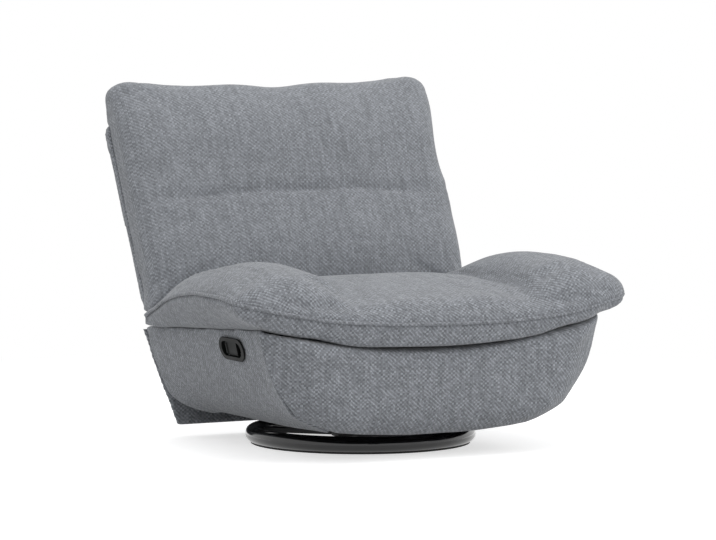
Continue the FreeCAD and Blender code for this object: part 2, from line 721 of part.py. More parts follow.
cup_in_length = CUP_LENGTH - 2 * CUP_WALL
cup_in_height = CUP_HEIGHT - 2 * CUP_WALL
bezel = slot_z(BEZEL_LENGTH, BEZEL_HEIGHT, SOFT_GAP, BEZEL_T + SOFT_GAP)
rim = [e for e in bezel.Edges if min(v.Z for v in e.Vertexes) > BEZEL_T]
bezel = bezel.makeFillet(BEZEL_T * 0.6, rim)
bezel = one(bezel, slot_z(CUP_LENGTH, CUP_HEIGHT, -CUP_DEPTH, SOFT_GAP))
bezel = bezel.cut(slot_z(cup_in_length, cup_in_height, -CUP_DEPTH + CUP_WALL, 2 * BEZEL_T))
pin_at = -cup_in_length / 2 + 18.0
pin_level = -PADDLE_T
pin_half = CUP_HEIGHT / 2 - 0.5
knuckle_half = cup_in_height / 2 - 6


def on_pin(half, diameter):
    return rod(Vector(pin_at, -half, pin_level), Vector(pin_at, half, pin_level), diameter)


pin = on_pin(pin_half, PADDLE_PIN_D)
save("release_bezel", on_handle(bezel.cut(pin)))
save("paddle_pin", on_handle(pin))


def beyond(x, way):
    """All of the handle's room on one side of a line across it."""
    room = Part.makeBox(CUP_LENGTH, CUP_LENGTH, CUP_LENGTH, Vector(0, -CUP_LENGTH / 2, -CUP_LENGTH / 2))
    room.translate(Vector(x if way > 0 else x - CUP_LENGTH, 0, 0))
    return room


paddle = slot_z(cup_in_length - 3, cup_in_height - 3, pin_level - PADDLE_T / 2, pin_level + PADDLE_T / 2)
paddle = paddle.cut([beyond(PADDLE_LENGTH - cup_in_length / 2, 1), beyond(pin_at - PADDLE_T, -1)])
paddle = one(paddle, on_pin(knuckle_half, 2 * PADDLE_T))
play = on_pin(pin_half, PADDLE_PIN_D + 2 * PIN_PLAY)
save("release_paddle", on_handle(paddle.cut(play)))

cable_start = handle_place.multVec(Vector(-25, 0, -CUP_DEPTH - 0.8))
cable_end = Vector(-(pawl_in + LINK_T / 2), pawl_tail[0] - 1, pawl_tail[1] - 6.5 - CABLE_D / 2)
cable_exit = cable_start + handle_out * -6
drop = Vector(0.55, 0.1, -0.83)
cable_knots = [
    cable_start,
    cable_exit,
    cable_exit + drop * 70,
    Vector(-(rail_x + 30), (cable_start.y + cable_end.y) / 2, RAIL_BOTTOM - 25),
    cable_end,
]
route = Part.BSplineCurve()
route.interpolate(cable_knots)
route_edge = route.toShape()


def along_cable(radius):
    ring = Part.Circle(cable_start, route_edge.tangentAt(route_edge.FirstParameter), radius).toShape()
    return Part.Wire([route_edge]).makePipeShell([Part.Wire(ring)], True, False)


save("release_cable", along_cable(CABLE_D / 2))
tunnel = along_cable(CABLE_D / 2 + 2)

save("side_panel_right", side_panel)
pocket = on_handle(slot_z(CUP_LENGTH + 2 * SOFT_GAP, CUP_HEIGHT + 2 * SOFT_GAP, -CUP_DEPTH - SOFT_GAP, 40))
save("side_panel_left", flip(side_panel).cut([pocket, tunnel]))

rear_board = outline(
    (-rear_board_half, rear_board_top),
    [
        ((rear_board_half, rear_board_top),),
        ((REAR_BOARD_BOTTOM_HALF, REAR_BOARD_BOTTOM),),
        ((-REAR_BOARD_BOTTOM_HALF, REAR_BOARD_BOTTOM),),
        ((-rear_board_half, rear_board_top),),
    ],
    lambda x, z: Vector(x, rear_board_y + lean * (z - rear_board_top), z),
)
save("rear_board", Part.Face(rear_board).extrude(Vector(0, REAR_BOARD_T, 0)))

# Back, in (up, out) along its rake
rake = math.radians(BACK_RAKE_DEG)


def on_back(x, up, out):
    y = back_y + up * math.sin(rake) - out * math.cos(rake)
    return Vector(x, y, back_z + up * math.cos(rake) + out * math.sin(rake))


def back_section(x, top, front, grow):
    """Rear face, top roll, upper and lower bulges with the seam between them."""
    seam = front * 0.77
    deep = SHELL_T + 2
    round_off = (BACK_THICK - front) * 0.12
    steps = [
        ((SHELL_TOP + 4, deep),),
        ((SHELL_TOP + 4, 4 + round_off),),
        ((top - 14, 12 + round_off),),
        ((top + grow, front * 0.44), (top - 26, front * 0.76 + grow)),
        ((BACK_SEAM + 150, front * 1.03 + grow), (BACK_SEAM, seam + grow)),
        ((BACK_SEAM - 145, front + grow), (-20.0 - grow, front * 0.67 + grow)),
        ((SHELL_BOTTOM - 2 * grow, deep),),
    ]
    flare = BACK_FLARE * x / BACK_HALF_WIDTH / BACK_TOP
    return outline((SHELL_BOTTOM - 2 * grow, deep), steps, lambda up, out: on_back(x + flare * up, up, out))


def back_form(grow):
    stations = [
        (BACK_HALF_WIDTH + grow, BACK_TOP - 2, BACK_THICK - 74),
        (BACK_HALF_WIDTH - 22 + grow, BACK_TOP + BACK_EAR - 3, BACK_THICK - 48),
        (BACK_HALF_WIDTH * 0.8, BACK_TOP + BACK_EAR, BACK_THICK - 24),
        (BACK_HALF_WIDTH * 0.45, BACK_TOP + 2, BACK_THICK - 6),
    ]
    right = [back_section(x, top, front, grow) for x, top, front in stations]
    left = [back_section(-x, top, front, grow) for x, top, front in reversed(stations)]
    middle = back_section(0, BACK_TOP - 6, BACK_THICK, grow)
    return Part.makeLoft(right + [middle] + left, True, False)


def back_block(x0, x1, up0, up1, out0, out1):
    corners = [on_back(x0, up0, out0), on_back(x0, up1, out0), on_back(x0, up1, out1), on_back(x0, up0, out1)]
    return Part.Face(Part.makePolygon(corners + corners[:1])).extrude(Vector(x1 - x0, 0, 0))


pocket_half = PLATE_X + 4
pocket_out = FRAME_FRONT + STRAP_T + SOFT_GAP
frame_pocket = back_block(-pocket_half, pocket_half, -200, SHELL_TOP + 2, -20, pocket_out)
save("back_cushion", back_form(0).cut(frame_pocket))

shell_half = BACK_HALF_WIDTH + SHELL_PROUD
shell_foot_half = shell_half - SHELL_TAPER
shell_wire = outline(
    (-shell_foot_half, SHELL_BOTTOM),
    [
        ((shell_foot_half, SHELL_BOTTOM),),
        ((shell_half, SHELL_TOP),),
        ((-shell_half, SHELL_TOP),),
        ((-shell_foot_half, SHELL_BOTTOM),),
    ],
    lambda x, up: on_back(x, up, 0),
)
shell_depth = on_back(0, 0, SHELL_T) - on_back(0, 0, 0)
shell = Part.Face(shell_wire).extrude(shell_depth)
corners = [e for e in shell.Edges if abs(e.Length - SHELL_T) < 0.01]
save("back_shell", shell.makeFillet(SHELL_CORNER_R, corners))

save_pair("back_stile", back_block(stile_x, strap_in, frame_bottom, frame_top, SHELL_T, FRAME_FRONT))
low_rail = back_block(-stile_x, stile_x, frame_bottom, frame_bottom + FRAME_RAIL, SHELL_T, FRAME_FRONT)
save("back_lower_rail", low_rail)
save("back_top_rail", back_block(-stile_x, stile_x, frame_top - FRAME_RAIL, frame_top, SHELL_T, FRAME_FRONT))
straps = []
strap_room = frame_top - frame_bottom - 2 * FRAME_RAIL
for k in range(STRAP_COUNT):
    middle = frame_bottom + FRAME_RAIL + strap_room * (k + 0.5) / STRAP_COUNT
    low = middle - STRAP_WIDTH / 2
    straps.append(back_block(-strap_in, strap_in, low, low + STRAP_WIDTH, FRAME_FRONT, FRAME_FRONT + STRAP_T))
save("back_webbing", *straps)

strap_top = on_back(0, HINGE_STRAP_TOP, (SHELL_T + FRAME_FRONT) / 2)
hinge_strap = bar_x(hinge, (strap_top.y, strap_top.z), 2 * HINGE_R - 2, strap_in, strap_in + PLATE_T)
hinge_strap = hinge_strap.cut(
    [
        rod_x(hinge, strap_in - 1, plate_out, HINGE_PIN_D + 2 * PIN_PLAY),
        back_block(strap_in - 1, plate_out, SHELL_BOTTOM - 4, SHELL_TOP, -2 * SHELL_T, SHELL_T + RUN_GAP),
    ]
)
save_pair("back_bracket", max(hinge_strap.Solids, key=lambda solid: solid.Volume))
hinge_pin = one(
    rod_x(hinge, strap_in - RUN_GAP, plate_out, HINGE_PIN_D),
    rod_x(hinge, strap_in - RUN_GAP - 3, strap_in - RUN_GAP, HINGE_PIN_D + 8),
    rod_x(hinge, plate_out, plate_out + 4, HINGE_PIN_D + 8),
)
save("back_hinge_pins", hinge_pin, flip(hinge_pin))

# Seat cushion: YZ sections lofted from one wing tip to the other, with the piped edge along the front
rim_slope = (BODY_FRONT_TOP - BODY_REAR_TOP) / (body_rear - BODY_FRONT)


def rim_height(x, y):
    """Height of the side panel's top, which climbs from the shelf to the outer rim."""
    rim = BODY_FRONT_TOP - rim_slope * (y - BODY_FRONT)
    share = max(0.0, min(1.0, (abs(x) - ramp_x) / (BODY_HALF_WIDTH - ramp_x)))
    return seat_bottom + share * (rim - seat_bottom) + 3 * share


def seat_section(x, foot, welt, shoulder, crown, rear_top, rear_low):
    """Front gusset from its foot to the welt, front roll to the shoulder, top over the crown, rear end."""
    bulge = ((foot[0] + welt[0]) / 2 - 4, (foot[1] + welt[1]) / 2)
    roll = (welt[0] * 0.8 + shoulder[0] * 0.2, welt[1] * 0.38 + shoulder[1] * 0.62)
    steps = [
        (bulge, welt),
        (roll, shoulder),
        (crown, rear_top),
        (rear_low,),
        (foot,),
    ]
    return outline(foot, steps, lambda y, z: Vector(x, y, z))


nose = SEAT_NOSE_Y
deck = seat_bottom
rim = BODY_FRONT_TOP
mid = SEAT_CROWN
wing = WING_CROWN
tip_x = WING_HALF_WIDTH
corner_x = BODY_HALF_WIDTH
rear = HINGE_Y - 62
end = rear + 50
tail = rim_height(corner_x, end)
crown_y = SEAT_CROWN_Y
seat_rows = [
    (0, (nose + 30, deck - 2), (nose, deck + 53), (nose + 64, mid - 26),
     (crown_y, mid), (rear, mid - 47), (rear, deck)),
    (150, (nose + 33, deck + 2), (nose + 3, deck + 55), (nose + 68, mid - 26),
     (crown_y, mid - 3), (rear, mid - 49), (rear, deck)),
    (corner_x - 189, (nose + 45, deck + 12), (nose + 14, deck + 62), (nose + 82, mid - 24),
     (crown_y, mid - 12), (rear, mid - 55), (rear, deck)),
    (corner_x - 124, (nose + 56, rim - 20), (nose + 22, rim + 20), (nose + 92, mid + 21),
     (crown_y - 40, wing - 13), (rear, mid - 69), (rear, deck)),
    (corner_x - 60, (nose + 72, rim - 9), (nose + 30, rim + 31), (nose + 100, wing - 15),
     (crown_y - 55, wing - 1), (rear, mid - 78), (rear, deck + 3)),
    (corner_x, (nose + 96, rim + 4), (nose + 43, rim + 42), (nose + 107, wing - 31),
     (crown_y - 50, wing - 14), (end, wing - 172), (end, tail)),
]
flank_rows = [
    seat_rows[-1],
    (tip_x - 34, (nose + 82, rim + 20), (nose + 62, rim + 52), (nose + 120, wing - 45),
     (crown_y - 35, wing - 31), (crown_y + 308, wing - 106), (crown_y + 308, wing - 119)),
    (tip_x, (nose + 105, rim + 54), (nose + 98, rim + 62), (nose + 140, wing - 72),
     (crown_y - 40, wing - 66), (crown_y + 18, wing - 72), (crown_y + 18, wing - 83)),
]
right_wires = [seat_section(*row) for row in seat_rows]
left_wires = [seat_section(-row[0], *row[1:]) for row in reversed(seat_rows[1:])]
seat = Part.makeLoft(left_wires + right_wires, True, False)
flank = Part.makeLoft([seat_section(*row) for row in flank_rows], True, False)
seat = one(seat, flank, flip(flank))
tub_room = Part.makeLoft(
    [
        tub_section(BODY_FRONT, BODY_HALF_WIDTH + 2, BODY_FRONT_TOP + 1.5, seat_bottom),
        tub_section(body_rear, BODY_REAR_HALF_WIDTH + 2, BODY_REAR_TOP + 1.5, seat_bottom),
    ],
    True,
    True,
)
deck_room = box(-ramp_x, ramp_x, FRONT_RAIL_Y - 60, 2 * HINGE_Y, 0, seat_bottom)
seat = seat.cut([back_form(BACK_SLOT), tub_room, flip(tub_room), deck_room])
save("seat_cushion", max(seat.Solids, key=lambda solid: solid.Volume))

# Footrest board and its pad, which is the front panel when the footrest is closed
board = outline(
    (-BOARD_HALF_TOP, BOARD_TOP),
    [
        ((BOARD_HALF_TOP, BOARD_TOP),),
        ((BOARD_HALF_BOTTOM, BOARD_BOTTOM),),
        ((-BOARD_HALF_BOTTOM, BOARD_BOTTOM),),
        ((-BOARD_HALF_TOP, BOARD_TOP),),
    ],
    lambda x, z: Vector(x, board_front, z),
)
save("footrest_board", Part.Face(board).extrude(Vector(0, BOARD_T, 0)))


def pad_section(depth, wide, tall):
    middle = (BOARD_TOP + BOARD_BOTTOM) / 2 + 1

    def spot(x, z):
        return Vector(x * wide, pad_rear - depth, middle + (z - middle) * tall)

    half = BODY_HALF_WIDTH - PAD_INSET
    pad_top = BODY_FRONT_TOP - PAD_TOP_GAP
    hip = (BODY_SIDE_X - 2, BODY_SIDE_Z)
    heel = (BODY_LIP_X - 14, BODY_LIP_Z + 4)
    flank = (half - 22, (pad_top + hip[1]) / 2 + 5)
    turn = (BODY_SIDE_X - 42, BODY_SIDE_Z - 33)

    def left(p):
        return (-p[0], p[1])

    steps = [
        ((0, pad_top - PAD_TOP_DIP), (half, pad_top)),
        (flank, hip),
        (turn, heel),
        ((0, PAD_BOTTOM), left(heel)),
        (left(turn), left(hip)),
        (left(flank), (-half, pad_top)),
    ]
    return outline((-half, pad_top), steps, spot)


pad = Part.makeLoft(
    [
        pad_section(0, 1.0, 1.0),
        pad_section(PAD_CROWN * 0.4, 0.99, 0.97),
        pad_section(PAD_CROWN * 0.7, 0.93, 0.84),
        pad_section(PAD_CROWN * 0.92, 0.76, 0.58),
        pad_section(PAD_CROWN, 0.46, 0.3),
    ],
    True,
    False,
)
save("footrest_pad", pad)
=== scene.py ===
import json
import math

import bpy
import numpy as np
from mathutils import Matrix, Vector, noise
from mathutils.kdtree import KDTree


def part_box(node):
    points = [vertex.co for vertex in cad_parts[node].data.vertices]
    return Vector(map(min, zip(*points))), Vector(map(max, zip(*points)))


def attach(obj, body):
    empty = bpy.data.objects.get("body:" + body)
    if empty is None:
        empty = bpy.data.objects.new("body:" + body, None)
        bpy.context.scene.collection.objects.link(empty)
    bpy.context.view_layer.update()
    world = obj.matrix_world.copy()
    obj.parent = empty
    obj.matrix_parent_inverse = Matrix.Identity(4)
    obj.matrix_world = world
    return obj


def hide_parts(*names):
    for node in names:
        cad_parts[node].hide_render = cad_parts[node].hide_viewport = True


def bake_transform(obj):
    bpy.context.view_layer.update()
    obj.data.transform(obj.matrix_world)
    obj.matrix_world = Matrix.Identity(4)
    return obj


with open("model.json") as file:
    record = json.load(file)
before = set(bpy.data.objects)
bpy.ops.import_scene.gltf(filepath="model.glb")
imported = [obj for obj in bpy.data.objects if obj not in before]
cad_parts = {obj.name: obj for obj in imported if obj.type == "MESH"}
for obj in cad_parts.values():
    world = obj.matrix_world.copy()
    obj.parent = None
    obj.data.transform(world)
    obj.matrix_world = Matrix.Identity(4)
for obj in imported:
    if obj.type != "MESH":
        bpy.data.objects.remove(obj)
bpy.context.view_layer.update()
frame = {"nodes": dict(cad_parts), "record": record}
nodes = frame["nodes"]

# The picture's camera, in metres and degrees
CAMERA_AZIMUTH = -27.963
CAMERA_ELEVATION = 4.492
CAMERA_TARGET = Vector((-0.0055, 0.0029, 0.4469))
CAMERA_DISTANCE = 11.9029
CAMERA_FOCAL_PX = 4593.1
PICTURE_WIDTH_PX = 716
SENSOR_MM = 36.0

# Cover fabric: chunky yarns in patches of two-by-two twill and of hopsack
YARN_ACROSS = 0.0031
YARN_UP = 0.0026
YARN_SWAY = 1.4
SWAY_ACROSS_GRAIN = (62.0, 34.0, 1.0)
SWAY_UP_GRAIN = (34.0, 62.0, 1.0)
PATCH_GRAIN = (36.0, 30.0, 1.0)
PATCH_LIMIT = 0.48
FLOAT_ARCH = 0.7
FLOAT_BASE = 0.3
WARP_COLOR = (0.272, 0.286, 0.309, 1.0)
WEFT_COLOR = (0.182, 0.192, 0.209, 1.0)
WARP_SLUB_GRAIN = (290.0, 11.0, 1.0)
WEFT_SLUB_GRAIN = (11.0, 330.0, 1.0)
STREAK_GRAIN = (70.0, 7.0, 1.0)
CLOUD_GRAIN = (7.0, 5.0, 1.0)
# Colour factor by yarn height: painted shade in the gaps between yarns and painted highlight on their
# crowns
YARN_SHADE = 0.98
YARN_GAP_PAINTED_SHADE = 0.2
YARN_CROWN_PAINTED_HIGHLIGHT = 0.09
FLECK = 0.16
COVER_DEPTH = 1.0
BACK_CLOTH_DEPTH = 0.75

# Mesh grain of the soft pieces, and the cloth that swells under pressure
SEAT_GRAIN = 0.0085
BACK_GRAIN = 0.0085
PAD_GRAIN = 0.007
PANEL_GRAIN = 0.006
CAD_WELD = 0.00005
SMOOTH_IN = 0.5
SMOOTH_OUT = -0.52
SWELL_PRESSURE = 4.0
SWELL_FRAMES = 20
SWELL_LIMIT = 0.026
SWELL_START = 0.004
HELD_LEVELS = (1.0, 0.6, 0.3)
HELD_STEP = 0.35
HELD_START = 1.2
BROAD_STEPS = 60
BROAD_KEPT = 0.15

# From here on a pair of values is a span over which a form starts or ends,
# and three values are where it starts, is fullest and ends.

# Piped edge of the seat, from the middle of the front to the right wing's tip
WELT_FRONT = [
    (0.0, -0.492, 0.346),
    (0.150, -0.489, 0.348),
    (0.285, -0.478, 0.355),
    (0.350, -0.470, 0.362),
    (0.414, -0.462, 0.373),
    (0.474, -0.449, 0.384),
    (0.519, -0.430, 0.394),
    (0.545, -0.408, 0.401),
]
WELT_REAR_Y = 0.27
EDGE_SLICES = 40
EDGE_SLICE_HALF = 0.008
EDGE_OUTERMOST = 6
EDGE_STEP = 0.006
WELT_RADIUS = 0.0050
WELT_TILT = 0.014
WELT_SINK = 0.0006
WELT_CREASE = 0.006
WELT_CREASE_WIDTH = 0.009
WELT_LID_Z = (-0.004, 0.004)
PIPING_UP = np.array((0.3, -0.3, 0.9))
PIPING_EVERY = 4

# Seat: wings, level middle, and the wrinkles of the cover
WING_LENGTH = (-0.455, -0.36, -0.2, 0.12)
WING_REAR_LOSS = 0.9
WING_LID_Z = (0.36, 0.40)
WING_SHOULDER = 0.038
WING_SHOULDER_SPAN = (0.242, 0.292, 0.385)
WING_DOME = 0.017
WING_DOME_X = 0.448
WING_DOME_WIDTH = 0.025
WING_DOME_FRONT = (-0.46, -0.34)
WING_DOME_REAR = (0.03, 0.2)
WING_FLANK = 0.0045
WING_FLANK_X = 0.50
WING_FLANK_WIDTH = 0.04
WING_FLANK_Y = (-0.45, -0.25, 0.0)
WING_TIP = 0.006
WING_TIP_X = (0.44, 0.54)
WING_TIP_Y = -0.40
WING_TIP_LENGTH = 0.09
MIDDLE_SHOULDER = 0.0145
MIDDLE_SHOULDER_SPAN = (0.10, 0.225, 0.275)
LEVEL_HALF_X = 0.12
LEVEL_Y = -0.1
LEVEL_HALF_Y = 0.15
UNFOLD_ROUNDS = 12
WELT_HOLD = 1.3
WELT_HOLD_REACH = 0.02
SEAT_HELD_Z = (0.31, 0.33)
SEAT_HELD_Y = (0.19, 0.22)
SEAT_PUCKER = 0.0016
SEAT_PUCKER_SCALE = 34.0
SEAT_PUCKER_STRETCH = np.array((1.0, 1.0, 0.5))
SEAT_PUCKER_NEAR = 0.006
SEAT_PUCKER_FAR = 0.03
SEAT_LOOSE = 0.0022
SEAT_LOOSE_SCALE = 9.0
SEAT_LOOSE_START = 0.05

# Gusset between the piping and the front panel, and the seat's rear ends
GUSSET_BELLY = 0.004
GUSSET_BELLY_Z = (0.335, 0.37, 0.41)
GUSSET_FOOT_Z = 0.2905
GUSSET_FOOT_RISE = 0.2
GUSSET_FRONT_Y = (-0.43, -0.35)
GUSSET_LIP = 0.010
GUSSET_LIP_HIGH = (0.0, 0.045)
GUSSET_LIP_X = (0.42, 0.50)
GUSSET_LIP_DROP = 0.003
GUSSET_CORNER = 0.55
GUSSET_CORNER_X = (0.30, 0.40, 0.50)
GUSSET_CORNER_HIGH = (0.02, 0.05)
GUSSET_CORNER_LIP = 0.006
GUSSET_CORNER_LIP_HIGH = (0.0, 0.05)
GUSSET_RIGHT = 0.005
GUSSET_RIGHT_X = (0.05, 0.3)
TAIL_HALF = 0.476
TAIL_HALF_SHARE = 0.85
TAIL_REAR = 0.301
TAIL_REAR_SHARE = 0.75
TAIL_RISE = 0.006
TAIL_X = (0.36, 0.45)
TAIL_TOP_Z = (0.335, 0.365)
TAIL_SIDE_Y = (0.14, 0.26)
TAIL_END_Y = (0.24, 0.28)
TAIL_UPPER_Z = (0.31, 0.33)
TAIL_LOWER_Z = (0.298, 0.314)

# Back, with heights along its rake and distances out from its rear face
BACK_FOOT = np.array((0.0, 0.335, 0.322))
BACK_RAKE = math.radians(24.6)
BACK_UP = np.array((0.0, math.sin(BACK_RAKE), math.cos(BACK_RAKE)))
BACK_OUT = np.array((0.0, -math.cos(BACK_RAKE), math.sin(BACK_RAKE)))
BACK_EDGE_TURN = 0.75
BACK_HALF = 0.475
BACK_FRONT_OUT = (0.05, 0.08)
BACK_HELD_OUT = (0.05, 0.07)
BACK_SEAM = 0.281
BACK_SEAM_DROP = 0.011
BACK_SEAM_HALF = 0.42
SEAM_FILL = 0.018
SEAM_FILL_UP = 0.289
SEAM_FILL_WIDTH = 0.05
SEAM_LIP_FILL = 0.0035
SEAM_LIP_UP = 0.303
SEAM_LIP_WIDTH = 0.03
SEAM_GROOVE = 0.003
SEAM_GROOVE_WIDTH = 0.007
SEAM_END_X = (0.34, 0.44)
SEAM_END_LOSS = 0.7
SEAM_HOLD = 1.2
SEAM_HOLD_REACH = 0.016
BACK_WAIST = 0.014
BACK_WAIST_UP = (0.25, 0.41, 0.55)
BACK_WAIST_X = (0.33, 0.46)
BACK_TOP_UP = (0.50, 0.60)
BACK_TOP_RISE = 0.003
BACK_TOP_RISE_X = 0.28
BACK_TOP_RISE_WIDTH = 0.07
BACK_TOP_DIP = 0.001
BACK_TOP_DIP_WIDTH = 0.17
BACK_EAR_UP = 0.60
BACK_EAR_WIDTH = 0.06
BACK_EAR_LEAN = 0.006
BACK_CORNER_X = (0.42, 0.46)
BACK_CORNER_UP = (0.0, 0.06)
BACK_CORNER_SHARE = 0.8
BACK_PUCKER = 0.0026
BACK_PUCKER_SCALE = 30.0
BACK_PUCKER_STRETCH = np.array((1.0, 0.25, 0.25))
BACK_PUCKER_FAR = 0.03
BACK_LOOSE = 0.0014
BACK_LOOSE_SCALE = 7.0
BACK_LOOSE_STRETCH = np.array((1.4, 1.0, 0.7))
SHELL_LIFT = 0.015
SHELL_LIFT_UP = (0.40, 0.53)

# Front panel of the footrest, and the body's lower front corners
PAD_TOP_Z = 0.277
PAD_TOP_RISE = 0.060
PAD_HALF = 0.47
PAD_FRONT_Y = -0.458
PAD_FACE_Y = (-0.415, -0.388)
PAD_TOP_FILL = 0.018
PAD_TOP_FILL_HIGH = (-0.075, -0.012)
PAD_TOP_LIP = 0.018
PAD_TOP_LIP_HIGH = (-0.022, -0.003)
PAD_TOP_LIMIT = 0.036
PAD_MIDDLE_RISE = 0.004
PAD_MIDDLE_WIDTH = 0.25
PAD_ROW_FOOT = 0.05
PAD_ROW_TOP = 0.36
PAD_ROW_STEP = 0.01
PAD_SWEEP = 0.09
PAD_SWEEP_SHARE = 0.9
PAD_REAR_Y = -0.382
PAD_FLARE = 0.012
PAD_TOP_FLARE = 0.004
PAD_TOP_FLARE_Z = (0.285, 0.33)
PAD_FOOT_DRAW = 0.010
PAD_FOOT_DRAW_Z = (0.13, 0.23)
PAD_END_X = (0.15, 0.35)
PAD_END_TURN = 0.4
PAD_FREE_DEPTH = 0.025
PAD_HELD_DEPTH = 0.005
PAD_LOOSE = 0.0015
PAD_LOOSE_SCALE = 8.0
CORNER_Z = 0.125
CORNER_TUCK = 0.08
CORNER_TUCK_DEEP = (0.0, 0.05)
CORNER_TUCK_Y = (-0.38, -0.2)

# Side panels and rear board
SIDE_HIP_Z = 0.129
SIDE_HIP_STRETCH = 0.8
SIDE_FRONT_Y = -0.38
SIDE_FLARE = 0.003
SIDE_FLARE_LENGTH = 0.08
SIDE_GAP = 0.014
SIDE_GAP_Y = (-0.385, -0.345)
SIDE_HEM_DROP = 0.022
SIDE_HEM_Y = (0.17, 0.33)
SIDE_HEM_Z = (0.10, 0.22)
BOARD_FOOT_Z = 0.037
BOARD_TOP_Z = 0.294
BOARD_BULGE = 0.007
BOARD_BULGE_X = (0.2, 0.36)
BOARD_HEM_DROP = 0.008
BOARD_HEM_Z = (0.04, 0.12)
BOARD_TOP_DROP = 0.010
BOARD_TOP_DROP_Z = (0.24, 0.294)

# Rocker springs
SPRING_WIRE = 0.003
SPRING_TURNS = 4
SPRING_STEPS = 24
SPRING_INSET = 0.022
SPRING_RADIUS = 0.019

# Room
WORLD_LIGHT = 0.82
FLOOR_SIZE = 60.0
FLOOR_TONE = 0.74
FLOOR_GLOW = 0.6
FLOOR_NEAR = 1.1
FLOOR_FAR = 2.4
LAMP_AIM = Vector((0, 0, 0.4))


class Nodes:
    """A material's node tree, with short calls for the nodes used here."""

    def __init__(self, name):
        self.material = bpy.data.materials.new(name)
        self.material.use_nodes = True
        self.tree = self.material.node_tree
        self.shader = self.tree.nodes["Principled BSDF"]

    def put(self, kind, **settings):
        node = self.tree.nodes.new(kind)
        for key, value in settings.items():
            setattr(node, key, value)
        return node

    def feed(self, socket, value):
        if isinstance(value, bpy.types.NodeSocket):
            self.tree.links.new(value, socket)
        else:
            socket.default_value = value

    def math(self, operation, a, b=0.0, c=0.0):
        node = self.put("ShaderNodeMath", operation=operation)
        for socket, value in zip(node.inputs, (a, b, c)):
            self.feed(socket, value)
        return node.outputs[0]

    def mix(self, factor, a, b):
        node = self.put("ShaderNodeMix", data_type="RGBA")
        self.feed(node.inputs["Factor"], factor)
        self.feed(node.inputs[6], a)
        self.feed(node.inputs[7], b)
        return node.outputs[2]

    def choose(self, factor, a, b):
        node = self.put("ShaderNodeMix", data_type="FLOAT")
        self.feed(node.inputs["Factor"], factor)
        self.feed(node.inputs[2], a)
        self.feed(node.inputs[3], b)
        return node.outputs[0]

    def noise(self, vector, scale, detail=2.0, roughness=0.5):
        node = self.put("ShaderNodeTexNoise")
        self.feed(node.inputs["Vector"], vector)
        self.feed(node.inputs["Scale"], scale)
        self.feed(node.inputs["Detail"], detail)
        self.feed(node.inputs["Roughness"], roughness)
        return node.outputs[0]

    def stretch(self, vector, scale):
        node = self.put("ShaderNodeMapping")
        self.feed(node.inputs["Vector"], vector)
        self.feed(node.inputs["Scale"], scale)
        return node.outputs[0]

    def range(self, value, low, high, to_low, to_high):
        node = self.put("ShaderNodeMapRange")
        for socket, number in zip(node.inputs, (value, low, high, to_low, to_high)):
            self.feed(socket, number)
        return node.outputs[0]

    def place(self):
        return self.put("ShaderNodeTexCoord").outputs["Object"]

    def color(self, value):
        self.feed(self.shader.inputs["Base Color"], value)

    def rough(self, value):
        self.feed(self.shader.inputs["Roughness"], value)

    def bump(self, height, strength, distance):
        node = self.put("ShaderNodeBump")
        self.feed(node.inputs["Strength"], strength)
        self.feed(node.inputs["Distance"], distance)
        self.feed(node.inputs["Height"], height)
        self.feed(self.shader.inputs["Normal"], node.outputs[0])

    def set(self, **values):
        for key, value in values.items():
            self.feed(self.shader.inputs[key.replace("_", " ")], value)


def seen_rays(tree):
    """One for rays that show the background: from the camera, or by way of gloss or glass."""
    path = tree.nodes.new("ShaderNodeLightPath")
    seen = path.outputs["Is Camera Ray"]
    for kind in ("Is Glossy Ray", "Is Transmission Ray"):
        either = tree.nodes.new("ShaderNodeMath")
        either.operation = "MAXIMUM"
        tree.links.new(seen, either.inputs[0])
        tree.links.new(path.outputs[kind], either.inputs[1])
        seen = either.outputs[0]
    return seen


# Finishes


